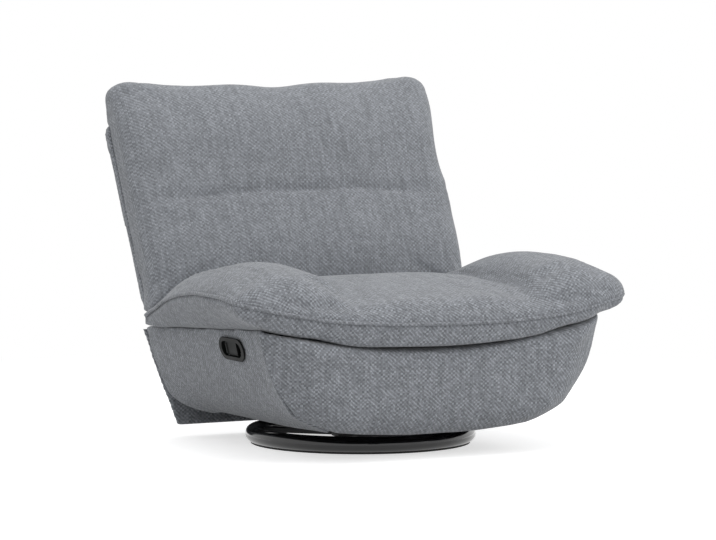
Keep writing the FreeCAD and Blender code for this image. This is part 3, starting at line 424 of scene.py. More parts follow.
def slub_weave(name, depth):
    """Grey slubby cover on each panel's own flat coordinates, its yarns standing out by depth, with
    painted shade between the yarns and painted highlight on their crowns.
    """
    n = Nodes(name)
    cloth = n.put("ShaderNodeUVMap", uv_map="cloth").outputs[0]
    split = n.put("ShaderNodeSeparateXYZ")
    n.feed(split.inputs[0], cloth)
    sway_across = n.noise(n.stretch(cloth, SWAY_ACROSS_GRAIN), 1.0)
    sway_up = n.noise(n.stretch(cloth, SWAY_UP_GRAIN), 1.0)
    columns = n.math("DIVIDE", split.outputs[0], YARN_ACROSS)
    across = n.math("MULTIPLY_ADD", sway_across, YARN_SWAY, columns)
    rows = n.math("DIVIDE", split.outputs[1], YARN_UP)
    up = n.math("MULTIPLY_ADD", sway_up, YARN_SWAY, rows)
    in_column = n.math("FRACT", across)
    in_row = n.math("FRACT", up)

    step = n.math("ADD", n.math("FLOOR", across), n.math("FLOOR", up))
    turn = n.math("FLOORED_MODULO", step, 4.0)
    across_pair = n.math("MULTIPLY", across, 0.5)
    up_pair = n.math("MULTIPLY", up, 0.5)
    pair_column = n.math("FLOOR", across_pair)
    pair_row = n.math("FLOOR", up_pair)
    pair_turn = n.math("FLOORED_MODULO", n.math("ADD", pair_column, pair_row), 2.0)
    patches = n.noise(n.stretch(cloth, PATCH_GRAIN), 1.0, 1.0)
    patch = n.math("GREATER_THAN", patches, PATCH_LIMIT)
    warp_over = n.choose(patch, n.math("LESS_THAN", turn, 1.5), n.math("LESS_THAN", pair_turn, 0.5))

    def arch(position):
        return n.math("SINE", n.math("MULTIPLY", position, math.pi))

    def float_of(yarn, twill_place, pair_place):
        along = n.choose(patch, twill_place, n.math("FRACT", pair_place))
        return n.math("MULTIPLY", arch(yarn), n.math("MULTIPLY_ADD", arch(along), FLOAT_ARCH, FLOAT_BASE))

    warp_place = n.math("MULTIPLY", n.math("ADD", turn, in_row), 0.5)
    weft_place = n.math("MULTIPLY", n.math("ADD", n.math("SUBTRACT", turn, 2.0), in_column), 0.5)
    warp_height = float_of(in_column, warp_place, up_pair)
    weft_height = float_of(in_row, weft_place, across_pair)
    height = n.choose(warp_over, weft_height, warp_height)

    cell = n.put("ShaderNodeCombineXYZ")
    n.feed(cell.inputs[0], pair_column)
    n.feed(cell.inputs[1], pair_row)
    fleck = n.put("ShaderNodeTexWhiteNoise", noise_dimensions="2D")
    n.feed(fleck.inputs["Vector"], cell.outputs[0])
    warp_slub = n.noise(n.stretch(cloth, WARP_SLUB_GRAIN), 1.0, 2.0, 0.6)
    weft_slub = n.noise(n.stretch(cloth, WEFT_SLUB_GRAIN), 1.0, 2.0, 0.6)
    streak = n.noise(n.stretch(cloth, STREAK_GRAIN), 1.0, 3.0, 0.6)
    cloud = n.noise(n.stretch(cloth, CLOUD_GRAIN), 1.0, 2.0, 0.5)
    # Painted shade in the gaps between yarns and painted highlight on their crowns, then random tone from
    # flecks, slubs, streaks and cloud
    painted_shade_and_tone = n.range(height, 0.0, 0.9, YARN_SHADE - YARN_GAP_PAINTED_SHADE * depth, YARN_SHADE + YARN_CROWN_PAINTED_HIGHLIGHT * depth)
    for value, low, high in (
        (fleck.outputs["Value"], 1 - FLECK * depth, 1 + FLECK * depth),
        (warp_slub, 0.86, 1.14),
        (weft_slub, 0.92, 1.08),
        (streak, 0.86, 1.14),
        (cloud, 0.97, 1.03),
    ):
        painted_shade_and_tone = n.math("MULTIPLY", painted_shade_and_tone, n.range(value, 0.25, 0.75, low, high))
    tone = n.put("ShaderNodeVectorMath", operation="SCALE")
    warp_share = n.math("MULTIPLY_ADD", warp_over, depth, 0.5 - 0.5 * depth)
    n.feed(tone.inputs[0], n.mix(warp_share, WEFT_COLOR, WARP_COLOR))
    n.feed(tone.inputs["Scale"], painted_shade_and_tone)
    n.color(tone.outputs[0])
    n.set(Roughness=0.92, Sheen_Weight=0.22, Sheen_Roughness=0.45, Specular_IOR_Level=0.22)
    n.bump(height, 0.5, 0.0011)
    return n.material


def gloss_black():
    """Deep black lacquer of the floor ring, with a trace of orange peel."""
    n = Nodes("gloss_black")
    place = n.place()
    cloud = n.noise(place, 9.0, 3.0)
    n.color(n.mix(cloud, (0.005, 0.005, 0.006, 1), (0.010, 0.010, 0.011, 1)))
    n.rough(n.range(cloud, 0.3, 0.7, 0.10, 0.17))
    n.set(Coat_Weight=0.5, Coat_Roughness=0.05)
    n.bump(n.noise(place, 420.0), 0.03, 0.0006)
    return n.material


def moulded_black():
    """Matt black moulded plastic with a fine spark grain."""
    n = Nodes("moulded_black")
    place = n.place()
    cloud = n.noise(place, 30.0, 3.0)
    n.color(n.mix(cloud, (0.0045, 0.0055, 0.0055, 1), (0.009, 0.010, 0.010, 1)))
    n.rough(n.range(cloud, 0.3, 0.7, 0.46, 0.58))
    n.set(Specular_IOR_Level=0.12)
    n.bump(n.noise(place, 1500.0), 0.12, 0.0003)
    return n.material


def painted_steel():
    """Black powder coat, a little rubbed."""
    n = Nodes("painted_steel")
    place = n.place()
    wear = n.noise(place, 14.0, 5.0, 0.65)
    n.color(n.mix(wear, (0.016, 0.017, 0.019, 1), (0.036, 0.037, 0.040, 1)))
    n.rough(n.range(wear, 0.3, 0.7, 0.38, 0.55))
    n.bump(n.noise(place, 300.0), 0.06, 0.0005)
    return n.material


def brushed_steel(name, dark, light, rough):
    """Bare or plated steel with drawing marks along x."""
    n = Nodes(name)
    place = n.place()
    drawn = n.noise(n.stretch(place, (40.0, 700.0, 700.0)), 1.0)
    n.color(n.mix(n.noise(place, 24.0, 4.0), (*dark, 1), (*light, 1)))
    n.rough(n.range(drawn, 0.3, 0.7, rough - 0.07, rough + 0.07))
    n.set(Metallic=1.0)
    n.bump(drawn, 0.05, 0.0002)
    return n.material


def gap_shade_hardwood():
    """Frame timber, near black as painted shade where it shows in the seat's gaps, grain still showing."""
    n = Nodes("gap_shade_hardwood")
    place = n.place()
    grain = n.noise(n.stretch(place, (9.0, 9.0, 160.0)), 1.0, 5.0, 0.62)
    pore = n.noise(n.stretch(place, (60.0, 60.0, 900.0)), 1.0)
    # Near-black colour: painted shade for the gaps where the rails show
    n.color(n.mix(grain, (0.010, 0.008, 0.007, 1), (0.030, 0.023, 0.018, 1)))
    n.rough(n.range(pore, 0.3, 0.7, 0.6, 0.8))
    n.bump(pore, 0.15, 0.0004)
    return n.material


def strip_rubber():
    n = Nodes("strip_rubber")
    place = n.place()
    n.color(n.mix(n.noise(place, 60.0, 4.0), (0.014, 0.014, 0.014, 1), (0.035, 0.035, 0.034, 1)))
    n.set(Roughness=0.85)
    n.bump(n.noise(place, 900.0), 0.1, 0.0004)
    return n.material


def elastic_webbing():
    n = Nodes("elastic_webbing")
    wave = n.put("ShaderNodeTexWave", bands_direction="X")
    n.feed(wave.inputs["Vector"], n.place())
    n.feed(wave.inputs["Scale"], 180.0)
    n.color(n.mix(wave.outputs[0], (0.05, 0.05, 0.055, 1), (0.13, 0.13, 0.14, 1)))
    n.set(Roughness=0.9)
    n.bump(wave.outputs[0], 0.3, 0.0006)
    return n.material


# Mesh helpers


def add_object(name, data):
    piece = bpy.data.objects.new(name, data)
    bpy.context.scene.collection.objects.link(piece)
    return piece


def deselect():
    bpy.ops.object.select_all(action="DESELECT")


def only(piece):
    deselect()
    piece.select_set(True)
    bpy.context.view_layer.objects.active = piece


def apply_all(piece):
    only(piece)
    for modifier in list(piece.modifiers):
        bpy.ops.object.modifier_apply(modifier=modifier.name)


def points(piece):
    flat = np.zeros(len(piece.data.vertices) * 3)
    piece.data.vertices.foreach_get("co", flat)
    return flat.reshape(-1, 3)


def place_points(piece, where):
    piece.data.vertices.foreach_set("co", where.ravel())
    piece.data.update()


def normals(piece):
    flat = np.zeros(len(piece.data.vertices) * 3, np.float32)
    piece.data.vertex_normals.foreach_get("vector", flat)
    return flat.reshape(-1, 3).astype(float)


def push(piece, height):
    """Moves each point along its normal."""
    place_points(piece, points(piece) + normals(piece) * height[:, None])


def averaged(piece, field, factors):
    """A field of the piece's points after one round of averaging with neighbours for each factor."""
    ends = np.zeros(len(piece.data.edges) * 2, int)
    piece.data.edges.foreach_get("vertices", ends)
    here = np.concatenate([ends[0::2], ends[1::2]])
    there = np.concatenate([ends[1::2], ends[0::2]])
    size = len(field)
    count = np.bincount(here, minlength=size)
    for factor in factors:
        total = np.stack([np.bincount(here, field[there, k], size) for k in range(3)], 1)
        field = field + factor * (total / count[:, None] - field)
    return field


def even_out(piece, rounds):
    """Smooths the mesh and keeps its volume: each inward round is followed by one outward."""
    place_points(piece, averaged(piece, points(piece), [SMOOTH_IN, SMOOTH_OUT] * rounds))


def copy_of(node, name, grain):
    """A new piece with a CAD node's form as an even quad mesh."""
    piece = add_object(name, nodes[node].data.copy())
    piece.data.materials.clear()
    only(piece)
    bpy.ops.object.mode_set(mode="EDIT")
    bpy.ops.mesh.select_all(action="SELECT")
    bpy.ops.mesh.remove_doubles(threshold=CAD_WELD)
    bpy.ops.object.mode_set(mode="OBJECT")
    remesh = piece.modifiers.new("grain", "REMESH")
    remesh.mode = "VOXEL"
    remesh.voxel_size = grain
    apply_all(piece)
    return piece


def refine(piece):
    divide = piece.modifiers.new("divide", "SUBSURF")
    divide.levels = 1
    divide.render_levels = 1
    apply_all(piece)


def smooth_shade(piece):
    only(piece)
    bpy.ops.object.shade_smooth()


def swell(piece, held):
    """Cloth under pressure, held where the cover is sewn or rests.

    Its folds stay, and most of the broad swelling is taken out again.
    """
    before = points(piece)
    group = piece.vertex_groups.new(name="held")
    for level in HELD_LEVELS:
        chosen = np.nonzero((held >= level) & (held < level + HELD_STEP))[0]
        group.add([int(i) for i in chosen], level, "REPLACE")
    cut = np.minimum(1.0, HELD_START - held)[:, None]
    place_points(piece, before - normals(piece) * SWELL_START * cut)
    start = points(piece)
    cloth = piece.modifiers.new("cloth", "CLOTH")
    settings = cloth.settings
    settings.quality = 4
    settings.mass = 0.35
    settings.tension_stiffness = 45.0
    settings.compression_stiffness = 30.0
    settings.shear_stiffness = 12.0
    settings.bending_stiffness = 6.0
    settings.use_pressure = True
    settings.uniform_pressure_force = SWELL_PRESSURE
    settings.effector_weights.gravity = 0.0
    settings.vertex_group_mass = "held"
    cloth.point_cache.frame_start = 1
    cloth.point_cache.frame_end = SWELL_FRAMES
    scene = bpy.context.scene
    for step in range(1, SWELL_FRAMES + 1):
        scene.frame_set(step)
    graph = bpy.context.evaluated_depsgraph_get()
    settled = piece.evaluated_get(graph).data
    after = np.zeros(len(settled.vertices) * 3)
    settled.vertices.foreach_get("co", after)
    piece.modifiers.remove(cloth)
    piece.vertex_groups.remove(group)
    scene.frame_set(1)
    shift = after.reshape(-1, 3) - start
    length = np.linalg.norm(shift, axis=1, keepdims=True)
    shift *= np.minimum(1.0, SWELL_LIMIT / np.maximum(length, 1e-9))
    broad = averaged(piece, shift, [SMOOTH_IN] * BROAD_STEPS)
    place_points(piece, before + shift - (1.0 - BROAD_KEPT) * broad)


def face_corners(piece):
    """The place and the face of every face corner."""
    mesh = piece.data
    corner = np.zeros(len(mesh.loops), int)
    mesh.loops.foreach_get("vertex_index", corner)
    totals = np.zeros(len(mesh.polygons), int)
    mesh.polygons.foreach_get("loop_total", totals)
    return points(piece)[corner], np.repeat(np.arange(len(totals)), totals)


def cloth_map(piece, panel):
    """Writes the flat cloth coordinates of every face corner, as panel gives them."""
    mesh = piece.data
    face_normals = np.zeros(len(mesh.polygons) * 3, np.float32)
    mesh.polygon_normals.foreach_get("vector", face_normals)
    where, face = face_corners(piece)
    centre = np.stack([np.bincount(face, where[:, k]) for k in range(3)], 1)
    centre /= np.bincount(face)[:, None]
    flat = panel(where, face_normals.reshape(-1, 3)[face], centre[face])
    layer = mesh.uv_layers.new(name="cloth")
    layer.data.foreach_set("uv", flat.astype(np.float32).ravel())


def cover_with(piece, material, body):
    piece.data.materials.clear()
    piece.data.materials.append(material)
    smooth_shade(piece)
    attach(piece, body)


def wrinkle(where, scale, seed):
    """A smooth random height from -1 to 1 at each point."""
    shift = Vector((seed * 7.1, seed * 3.7, seed * 5.3))
    return np.array([noise.noise(Vector(p) * scale + shift) for p in where])


def tube_along(name, path, radius):
    """A round tube that follows a smooth line."""
    line = bpy.data.curves.new(name, "CURVE")
    line.dimensions = "3D"
    line.bevel_depth = radius
    line.bevel_resolution = 3
    line.resolution_u = 2
    line.use_fill_caps = True
    spline = line.splines.new("NURBS")
    spline.points.add(len(path) - 1)
    for point, spot in zip(spline.points, path):
        point.co = (*spot, 1.0)
    spline.order_u = 4
    spline.use_endpoint_u = True
    only(add_object(name, line))
    bpy.ops.object.convert(target="MESH")
    return bpy.context.view_layer.objects.active


def run_along(path):
    """Length of the path from its start to each of its points."""
    return np.concatenate([[0], np.cumsum(np.linalg.norm(np.diff(path, axis=0), axis=1))])


def ease_line(line, first, rounds):
    """Averages the points of a line with their neighbours, from the first one named on."""
    for _ in range(rounds):
        line[first:-1] = (line[first - 1 : -2] + 2 * line[first:-1] + line[first + 1 :]) / 4


def dense(path, step):
    """The path as evenly spaced points."""
    lengths = run_along(path)
    spots = np.linspace(0, lengths[-1], int(lengths[-1] / step))
    return np.stack([np.interp(spots, lengths, path[:, k]) for k in range(3)], 1)


def nearest(path, where):
    """For each point, the distance to the path and the index of its nearest point."""
    tree = KDTree(len(path))
    for k, p in enumerate(path):
        tree.insert(p, k)
    tree.balance()
    found = [tree.find(p) for p in where]
    return np.array([f[2] for f in found]), np.array([f[1] for f in found])


def bell(distance, width):
    return np.exp(-((distance / width) ** 2))


def rise(value, low, high):
    """Zero below low, one above high, an S between."""
    share = np.clip((value - low) / (high - low), 0.0, 1.0)
    return share * share * (3.0 - 2.0 * share)


def fall(value, low, high):
    """One below low, zero above high, an S between."""
    return 1.0 - rise(value, low, high)


def hump(value, start, top, end):
    """One at the top, zero outside start and end."""
    return rise(value, start, top) * fall(value, top, end)


# Cloth coordinates of the panels


def side_sign(where):
    return np.where(where[:, 0] < 0, -1.0, 1.0)


def board_map(where, face_normal, centre):
    """Rear board: across and up."""
    return np.stack([where[:, 0], where[:, 2]], 1)


def pad_map(where, face_normal, centre):
    """Front panel: across and round its ends, and up."""
    depth = np.maximum(0.0, where[:, 1] - PAD_FRONT_Y)
    end = PAD_END_TURN * depth * rise(np.abs(where[:, 0]), *PAD_END_X)
    return np.stack([where[:, 0] + side_sign(centre) * end, where[:, 2]], 1)


def side_map(where, face_normal, centre):
    """Side panels: along the side, and up the wall that turns in below the hip."""
    below = np.minimum(0.0, where[:, 2] - SIDE_HIP_Z)
    return np.stack([side_sign(centre) * where[:, 1], where[:, 2] + SIDE_HIP_STRETCH * below], 1)


def along_back(where):
    """Height along the rake and distance in front of the rear face."""
    rel = where - BACK_FOOT
    return rel @ BACK_UP, rel @ BACK_OUT


def back_map(where, face_normal, centre):
    """Back cushion and outside back: across and up the rake, with the narrow sides turned."""
    up, out = along_back(where)
    on_top = face_normal @ BACK_UP > BACK_EDGE_TURN
    on_side = (np.abs(face_normal[:, 0]) > BACK_EDGE_TURN) & ~on_top
    across = np.where(on_side, out * side_sign(centre), where[:, 0])
    return np.stack([across, np.where(on_top, -out, up)], 1)


# Seat cushion with its piped edge


def seat_edge(piece):
    """Points along the piped edge: the front by its own line, the sides by the wings' outermost points."""
    where = points(piece)
    rear = []
    tip_y = WELT_FRONT[-1][1]
    for k in range(1, EDGE_SLICES + 1):
        y = tip_y + (WELT_REAR_Y - tip_y) * k / EDGE_SLICES
        near = where[np.abs(where[:, 1] - y) < EDGE_SLICE_HALF]
        best = near[np.argsort(-near[:, 0])[:EDGE_OUTERMOST]].mean(0)
        rear.append((best[0], y, best[2]))
    right = np.array(WELT_FRONT + rear)
    ease_line(right, len(WELT_FRONT), rounds=3)
    left = right[:0:-1] * np.array([-1.0, 1.0, 1.0])
    return dense(np.concatenate([left, right]), EDGE_STEP)


def welt_line(piece, edge):
    """The edge a little tilted, as the cover is sewn, and laid on the piece's surface."""
    edge = edge - np.outer(WELT_TILT * edge[:, 0], (0.0, 0.0, 1.0))
    edge = np.array([piece.closest_point_on_mesh(Vector(p))[1] for p in edge])
    ease_line(edge, 1, rounds=6)
    return edge


def pad_wings(where):
    """Wings as broad pillows: full flanks, and full inner shoulders that meet a level seat in a crease."""
    where = where.copy()
    reach = np.abs(where[:, 0])
    along = where[:, 1]
    start, full, ease, end = WING_LENGTH
    length = rise(along, start, full) * (1 - WING_REAR_LOSS * rise(along, ease, end))
    lid = rise(where[:, 2], *WING_LID_Z)
    shoulder = WING_SHOULDER * hump(reach, *WING_SHOULDER_SPAN)
    shoulder += MIDDLE_SHOULDER * hump(reach, *MIDDLE_SHOULDER_SPAN)
    dome = WING_DOME * bell(reach - WING_DOME_X, WING_DOME_WIDTH)
    dome = dome * rise(along, *WING_DOME_FRONT) * fall(along, *WING_DOME_REAR)
    flank = WING_FLANK * bell(reach - WING_FLANK_X, WING_FLANK_WIDTH) * hump(along, *WING_FLANK_Y) * lid
    tip = rise(reach, *WING_TIP_X) * bell(along - WING_TIP_Y, WING_TIP_LENGTH)
    belly = GUSSET_BELLY * tip * hump(where[:, 2], *GUSSET_BELLY_Z)
    where[:, 0] += side_sign(where) * (flank + WING_TIP * tip + belly)
    where[:, 2] += lid * (length * shoulder + dome)
    return where


def square_lip(where):
    """Lower front edge of the seat as a firm lip just above the front panel."""
    where = where.copy()
    foot = GUSSET_FOOT_Z + GUSSET_FOOT_RISE * where[:, 0] ** 2
    reach = np.abs(where[:, 0])
    high = where[:, 2] - foot
    front = fall(where[:, 1], *GUSSET_FRONT_Y)
    lip = fall(high, *GUSSET_LIP_HIGH) * front * fall(reach, *GUSSET_LIP_X)
    corner = hump(reach, *GUSSET_CORNER_X) * front
    where[:, 1] -= GUSSET_LIP * lip + GUSSET_CORNER_LIP * corner * fall(high, *GUSSET_CORNER_LIP_HIGH)
    where[:, 2] -= GUSSET_CORNER * corner * np.maximum(0.0, high) * fall(high, *GUSSET_CORNER_HIGH)
    where[:, 2] += lip * (GUSSET_RIGHT * rise(where[:, 0], *GUSSET_RIGHT_X) - GUSSET_LIP_DROP)
    return where


def square_tail(where):
    """Rear ends of the seat, square between the back's foot and the side panels."""
    where = where.copy()
    reach = np.abs(where[:, 0])
    along = where[:, 1]
    high = where[:, 2]
    outer = rise(reach, *TAIL_X) * fall(high, *TAIL_TOP_Z)
    rear = outer * rise(along, *TAIL_SIDE_Y)
    last = outer * rise(along, *TAIL_END_Y)
    where[:, 0] += side_sign(where) * TAIL_HALF_SHARE * np.maximum(0.0, TAIL_HALF - reach) * rear
    where[:, 1] += TAIL_REAR_SHARE * np.maximum(0.0, TAIL_REAR - along) * last
    where[:, 2] += TAIL_RISE * (rear * rise(high, *TAIL_UPPER_Z) - last * fall(high, *TAIL_LOWER_Z))
    return where


def shape_seat(where):
    return square_tail(square_lip(pad_wings(where)))


def seat_map(piece, edge):
    """Seat: its lid unfolded with little stretch, its gusset along the edge."""
    mesh = piece.data
    layer = mesh.uv_layers.new(name="cloth")
    mesh.uv_layers.active = layer
    centre = np.zeros(len(mesh.polygons) * 3)
    mesh.polygons.foreach_get("center", centre)
    centre = centre.reshape(-1, 3)
    near = nearest(edge, centre)[1]
    lid = centre[:, 2] > edge[near][:, 2]
    only(piece)
    bpy.ops.object.mode_set(mode="EDIT")
    bpy.ops.mesh.select_all(action="DESELECT")
    bpy.ops.object.mode_set(mode="OBJECT")
    mesh.polygons.foreach_set("select", lid)
    bpy.ops.object.mode_set(mode="EDIT")
    bpy.ops.mesh.select_mode(type="FACE")
    bpy.ops.uv.unwrap(method="MINIMUM_STRETCH", iterations=UNFOLD_ROUNDS, margin=0.0)
    bpy.ops.object.mode_set(mode="OBJECT")

    where, face = face_corners(piece)
    flat = np.zeros(len(mesh.loops) * 2)
    mesh.uv_layers["cloth"].data.foreach_get("uv", flat)
    flat = flat.reshape(-1, 2)
    level = lid[face] & (np.abs(where[:, 0]) < LEVEL_HALF_X)
    level &= np.abs(where[:, 1] - LEVEL_Y) < LEVEL_HALF_Y
    turned = (flat[level] - flat[level].mean(0)) @ np.array([1.0, 1.0j])
    truth = (where[level, :2] - where[level, :2].mean(0)) @ np.array([1.0, 1.0j])
    spin = np.vdot(turned, truth) / np.vdot(turned, turned)
    lid_flat = (flat - flat[level].mean(0)) @ np.array([1.0, 1.0j]) * spin

    run = run_along(edge)
    course = np.gradient(edge, axis=0)
    course /= np.linalg.norm(course, axis=1, keepdims=True)
    spot = near[face]
    past = np.sum((where - edge[spot]) * course[spot], axis=1)
    gusset = np.stack([run[spot] + past, where[:, 2]], 1)
    flat = np.where(lid[face][:, None], np.stack([lid_flat.real, lid_flat.imag], 1), gusset)
    mesh.uv_layers["cloth"].data.foreach_set("uv", flat.astype(np.float32).ravel())


def make_seat(cover):
    piece = copy_of("seat_cushion", "seat_cover", SEAT_GRAIN)
    even_out(piece, rounds=5)
    edge = shape_seat(seat_edge(piece))
    place_points(piece, shape_seat(points(piece)))
    even_out(piece, rounds=2)
    edge = welt_line(piece, edge)
    where = points(piece)
    distance, _ = nearest(edge, where)
    held = np.clip(WELT_HOLD - distance / WELT_HOLD_REACH, 0, 1)
    held = np.maximum(held, fall(where[:, 2], *SEAT_HELD_Z))
    held = np.maximum(held, rise(where[:, 1], *SEAT_HELD_Y))
    swell(piece, held)
    seat_map(piece, edge)
    refine(piece)
    where = points(piece)
    distance, index = nearest(edge, where)
    above = rise(where[:, 2] - edge[index][:, 2], *WELT_LID_Z)
    near_edge = np.exp(-distance / SEAT_PUCKER_FAR) * (1 - np.exp(-distance / SEAT_PUCKER_NEAR))
    pucker = wrinkle(where * SEAT_PUCKER_STRETCH, SEAT_PUCKER_SCALE, seed=1.0) * SEAT_PUCKER * near_edge
    off_edge = 1 - np.exp(-distance / SEAT_LOOSE_START)
    loose = wrinkle(where, SEAT_LOOSE_SCALE, seed=2.0) * SEAT_LOOSE * off_edge
    crease = WELT_CREASE * bell(distance, WELT_CREASE_WIDTH) * (1 - above)
    push(piece, pucker + loose * above - crease)

    cover_with(piece, cover, "seat")
    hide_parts("seat_cushion")

    sunk = edge - WELT_SINK * np.array([piece.closest_point_on_mesh(Vector(p))[2] for p in edge])
    welt = tube_along("seat_piping", sunk[::PIPING_EVERY], WELT_RADIUS)

    run = run_along(edge)

    def piping_map(where, face_normal, centre):
        near = nearest(edge, where)[1]
        return np.stack([run[near], (where - edge[near]) @ PIPING_UP], 1)

    cloth_map(welt, piping_map)
    cover_with(welt, cover, "seat")


def seam_height(where):
    """The back's seam, which drops towards its ends."""
    return BACK_SEAM - BACK_SEAM_DROP * (where[:, 0] / BACK_SEAM_HALF) ** 4


def fill_back(where):
    """Back with a shallow seam, a waist drawn in on its right and its ears leaning one way."""
    where = where.copy()
    up, out = along_back(where)
    reach = np.abs(where[:, 0])
    waist = hump(up, *BACK_WAIST_UP) * rise(where[:, 0], *BACK_WAIST_X)
    fill = SEAM_FILL * bell(up - SEAM_FILL_UP, SEAM_FILL_WIDTH)
    fill += SEAM_LIP_FILL * bell(up - SEAM_LIP_UP, SEAM_LIP_WIDTH)
    level = BACK_TOP_RISE * bell(reach - BACK_TOP_RISE_X, BACK_TOP_RISE_WIDTH)
    level -= BACK_TOP_DIP * bell(reach, BACK_TOP_DIP_WIDTH)
    level *= rise(up, *BACK_TOP_UP)
    corner = rise(reach, *BACK_CORNER_X) * fall(up, *BACK_CORNER_UP)
    square = BACK_CORNER_SHARE * np.maximum(0.0, BACK_HALF - reach) * corner
    where += BACK_OUT * (fill * rise(out, *BACK_FRONT_OUT))[:, None] + BACK_UP * level[:, None]
    where[:, 0] += BACK_EAR_LEAN * bell(up - BACK_EAR_UP, BACK_EAR_WIDTH)
    where[:, 0] += side_sign(where) * (square - BACK_WAIST * waist)
    return where


def lift_shell(where):
    """Outside back, a little higher at its top edge."""
    up, _ = along_back(where)
    return where + BACK_UP * (SHELL_LIFT * rise(up, *SHELL_LIFT_UP))[:, None]


def make_back(cover):
    piece = copy_of("back_cushion", "back_cover", BACK_GRAIN)
    even_out(piece, rounds=5)
    place_points(piece, fill_back(points(piece)))
    even_out(piece, rounds=2)
    up, out = along_back(points(piece))
    seam = np.abs(up - seam_height(points(piece)))
    held = np.clip(SEAM_HOLD - seam / SEAM_HOLD_REACH, 0, 1) * rise(out, *BACK_FRONT_OUT)
    held = np.maximum(held, fall(out, *BACK_HELD_OUT))
    swell(piece, held)
    refine(piece)
    where = points(piece)
    up, out = along_back(where)
    seam = np.abs(up - seam_height(where))
    front = rise(out, *BACK_FRONT_OUT)
    sewn = 1 - SEAM_END_LOSS * rise(np.abs(where[:, 0]), *SEAM_END_X)
    pucker = wrinkle(where * BACK_PUCKER_STRETCH, BACK_PUCKER_SCALE, seed=3.0) * BACK_PUCKER
    pucker *= np.exp(-seam / BACK_PUCKER_FAR)
    loose = wrinkle(where * BACK_LOOSE_STRETCH, BACK_LOOSE_SCALE, seed=4.0) * BACK_LOOSE
    loose *= fall(up, *BACK_TOP_UP)
    push(piece, front * (pucker + loose - SEAM_GROOVE * sewn * bell(seam, SEAM_GROOVE_WIDTH)))
    cloth_map(piece, back_map)
    cover_with(piece, cover, "back")
    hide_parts("back_cushion")


def tuck_corner(where):
    """Draws the body in below its lower front corners."""
    deep = rise(CORNER_Z - where[:, 2], *CORNER_TUCK_DEEP)
    where[:, 0] *= 1 - CORNER_TUCK * deep * fall(where[:, 1], *CORNER_TUCK_Y)


def turn_side(where):
    """Side panel with its front edge set back and a little flared, and its hem let down at the rear."""
    where = where.copy()
    tuck_corner(where)
    flare = np.clip(1 - (where[:, 1] - SIDE_FRONT_Y) / SIDE_FLARE_LENGTH, 0, 1)
    where[:, 0] += side_sign(where) * SIDE_FLARE * flare**2
    where[:, 1] += SIDE_GAP * fall(where[:, 1], *SIDE_GAP_Y)
    where[:, 2] -= SIDE_HEM_DROP * rise(where[:, 1], *SIDE_HEM_Y) * fall(where[:, 2], *SIDE_HEM_Z)
    return where


def round_board(where):
    """Rear board with bowed sides, a lower hem and a top just under the back."""
    where = where.copy()
    high = where[:, 2]
    share = np.clip((high - BOARD_FOOT_Z) / (BOARD_TOP_Z - BOARD_FOOT_Z), 0, 1)
    bow = BOARD_BULGE * np.sin(math.pi * share) * rise(np.abs(where[:, 0]), *BOARD_BULGE_X)
    where[:, 0] += side_sign(where) * bow
    drop = BOARD_HEM_DROP * fall(high, *BOARD_HEM_Z) + BOARD_TOP_DROP * rise(high, *BOARD_TOP_DROP_Z)
    where[:, 2] -= drop
    return where


def make_panel(node, name, body, cover, shape, panel, rounds):
    piece = copy_of(node, name, PANEL_GRAIN)
    even_out(piece, rounds)
    place_points(piece, shape(points(piece)))
    cloth_map(piece, panel)
    cover_with(piece, cover, body)
    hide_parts(node)


def fill_pad(where):
    """Front panel with a full upper edge under the seat and ends that sweep back to a thin rim."""
    where = where.copy()
    tuck_corner(where)
    top_line = PAD_TOP_Z + PAD_TOP_RISE * (where[:, 0] / PAD_HALF) ** 2
    near_top = rise(where[:, 2] - top_line, *PAD_TOP_FILL_HIGH)
    lip = rise(where[:, 2] - top_line, *PAD_TOP_LIP_HIGH)
    reach = np.abs(where[:, 0])
    rows = np.arange(PAD_ROW_FOOT, PAD_ROW_TOP, PAD_ROW_STEP)
    row = np.digitize(where[:, 2], rows)
    ends = np.array([reach[row == k].max() if np.any(row == k) else 0.0 for k in range(len(rows) + 1)])
    inset = np.interp(where[:, 2], rows - PAD_ROW_STEP / 2, ends[:-1]) - reach
    sweep = np.clip(1 - inset / PAD_SWEEP, 0, 1)
    front = fall(where[:, 1], *PAD_FACE_Y)
    where[:, 1] -= front * np.minimum(PAD_TOP_LIMIT, PAD_TOP_FILL * near_top + PAD_TOP_LIP * lip)
    where[:, 1] += PAD_SWEEP_SHARE * sweep**2 * np.maximum(0.0, PAD_REAR_Y - where[:, 1])
    flare = PAD_FLARE + PAD_TOP_FLARE * rise(where[:, 2], *PAD_TOP_FLARE_Z)
    flare -= PAD_FOOT_DRAW * fall(where[:, 2], *PAD_FOOT_DRAW_Z)
    where[:, 0] += side_sign(where) * sweep * flare
    middle = PAD_MIDDLE_RISE * bell(where[:, 0], PAD_MIDDLE_WIDTH)
    where[:, 2] += near_top * (middle + GUSSET_RIGHT * rise(where[:, 0], *GUSSET_RIGHT_X))
    return where


def make_footrest(cover):
    piece = copy_of("footrest_pad", "front_panel_cover", PAD_GRAIN)
    even_out(piece, rounds=10)
    place_points(piece, fill_pad(points(piece)))
    even_out(piece, rounds=2)
    where = points(piece)
    rear = where[:, 1].max()
    swell(piece, rise(where[:, 1], rear - PAD_FREE_DEPTH, rear - PAD_HELD_DEPTH))
    refine(piece)
    push(piece, wrinkle(points(piece), PAD_LOOSE_SCALE, seed=6.0) * PAD_LOOSE)
    cloth_map(piece, pad_map)
    cover_with(piece, cover, "footrest")
    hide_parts("footrest_pad")


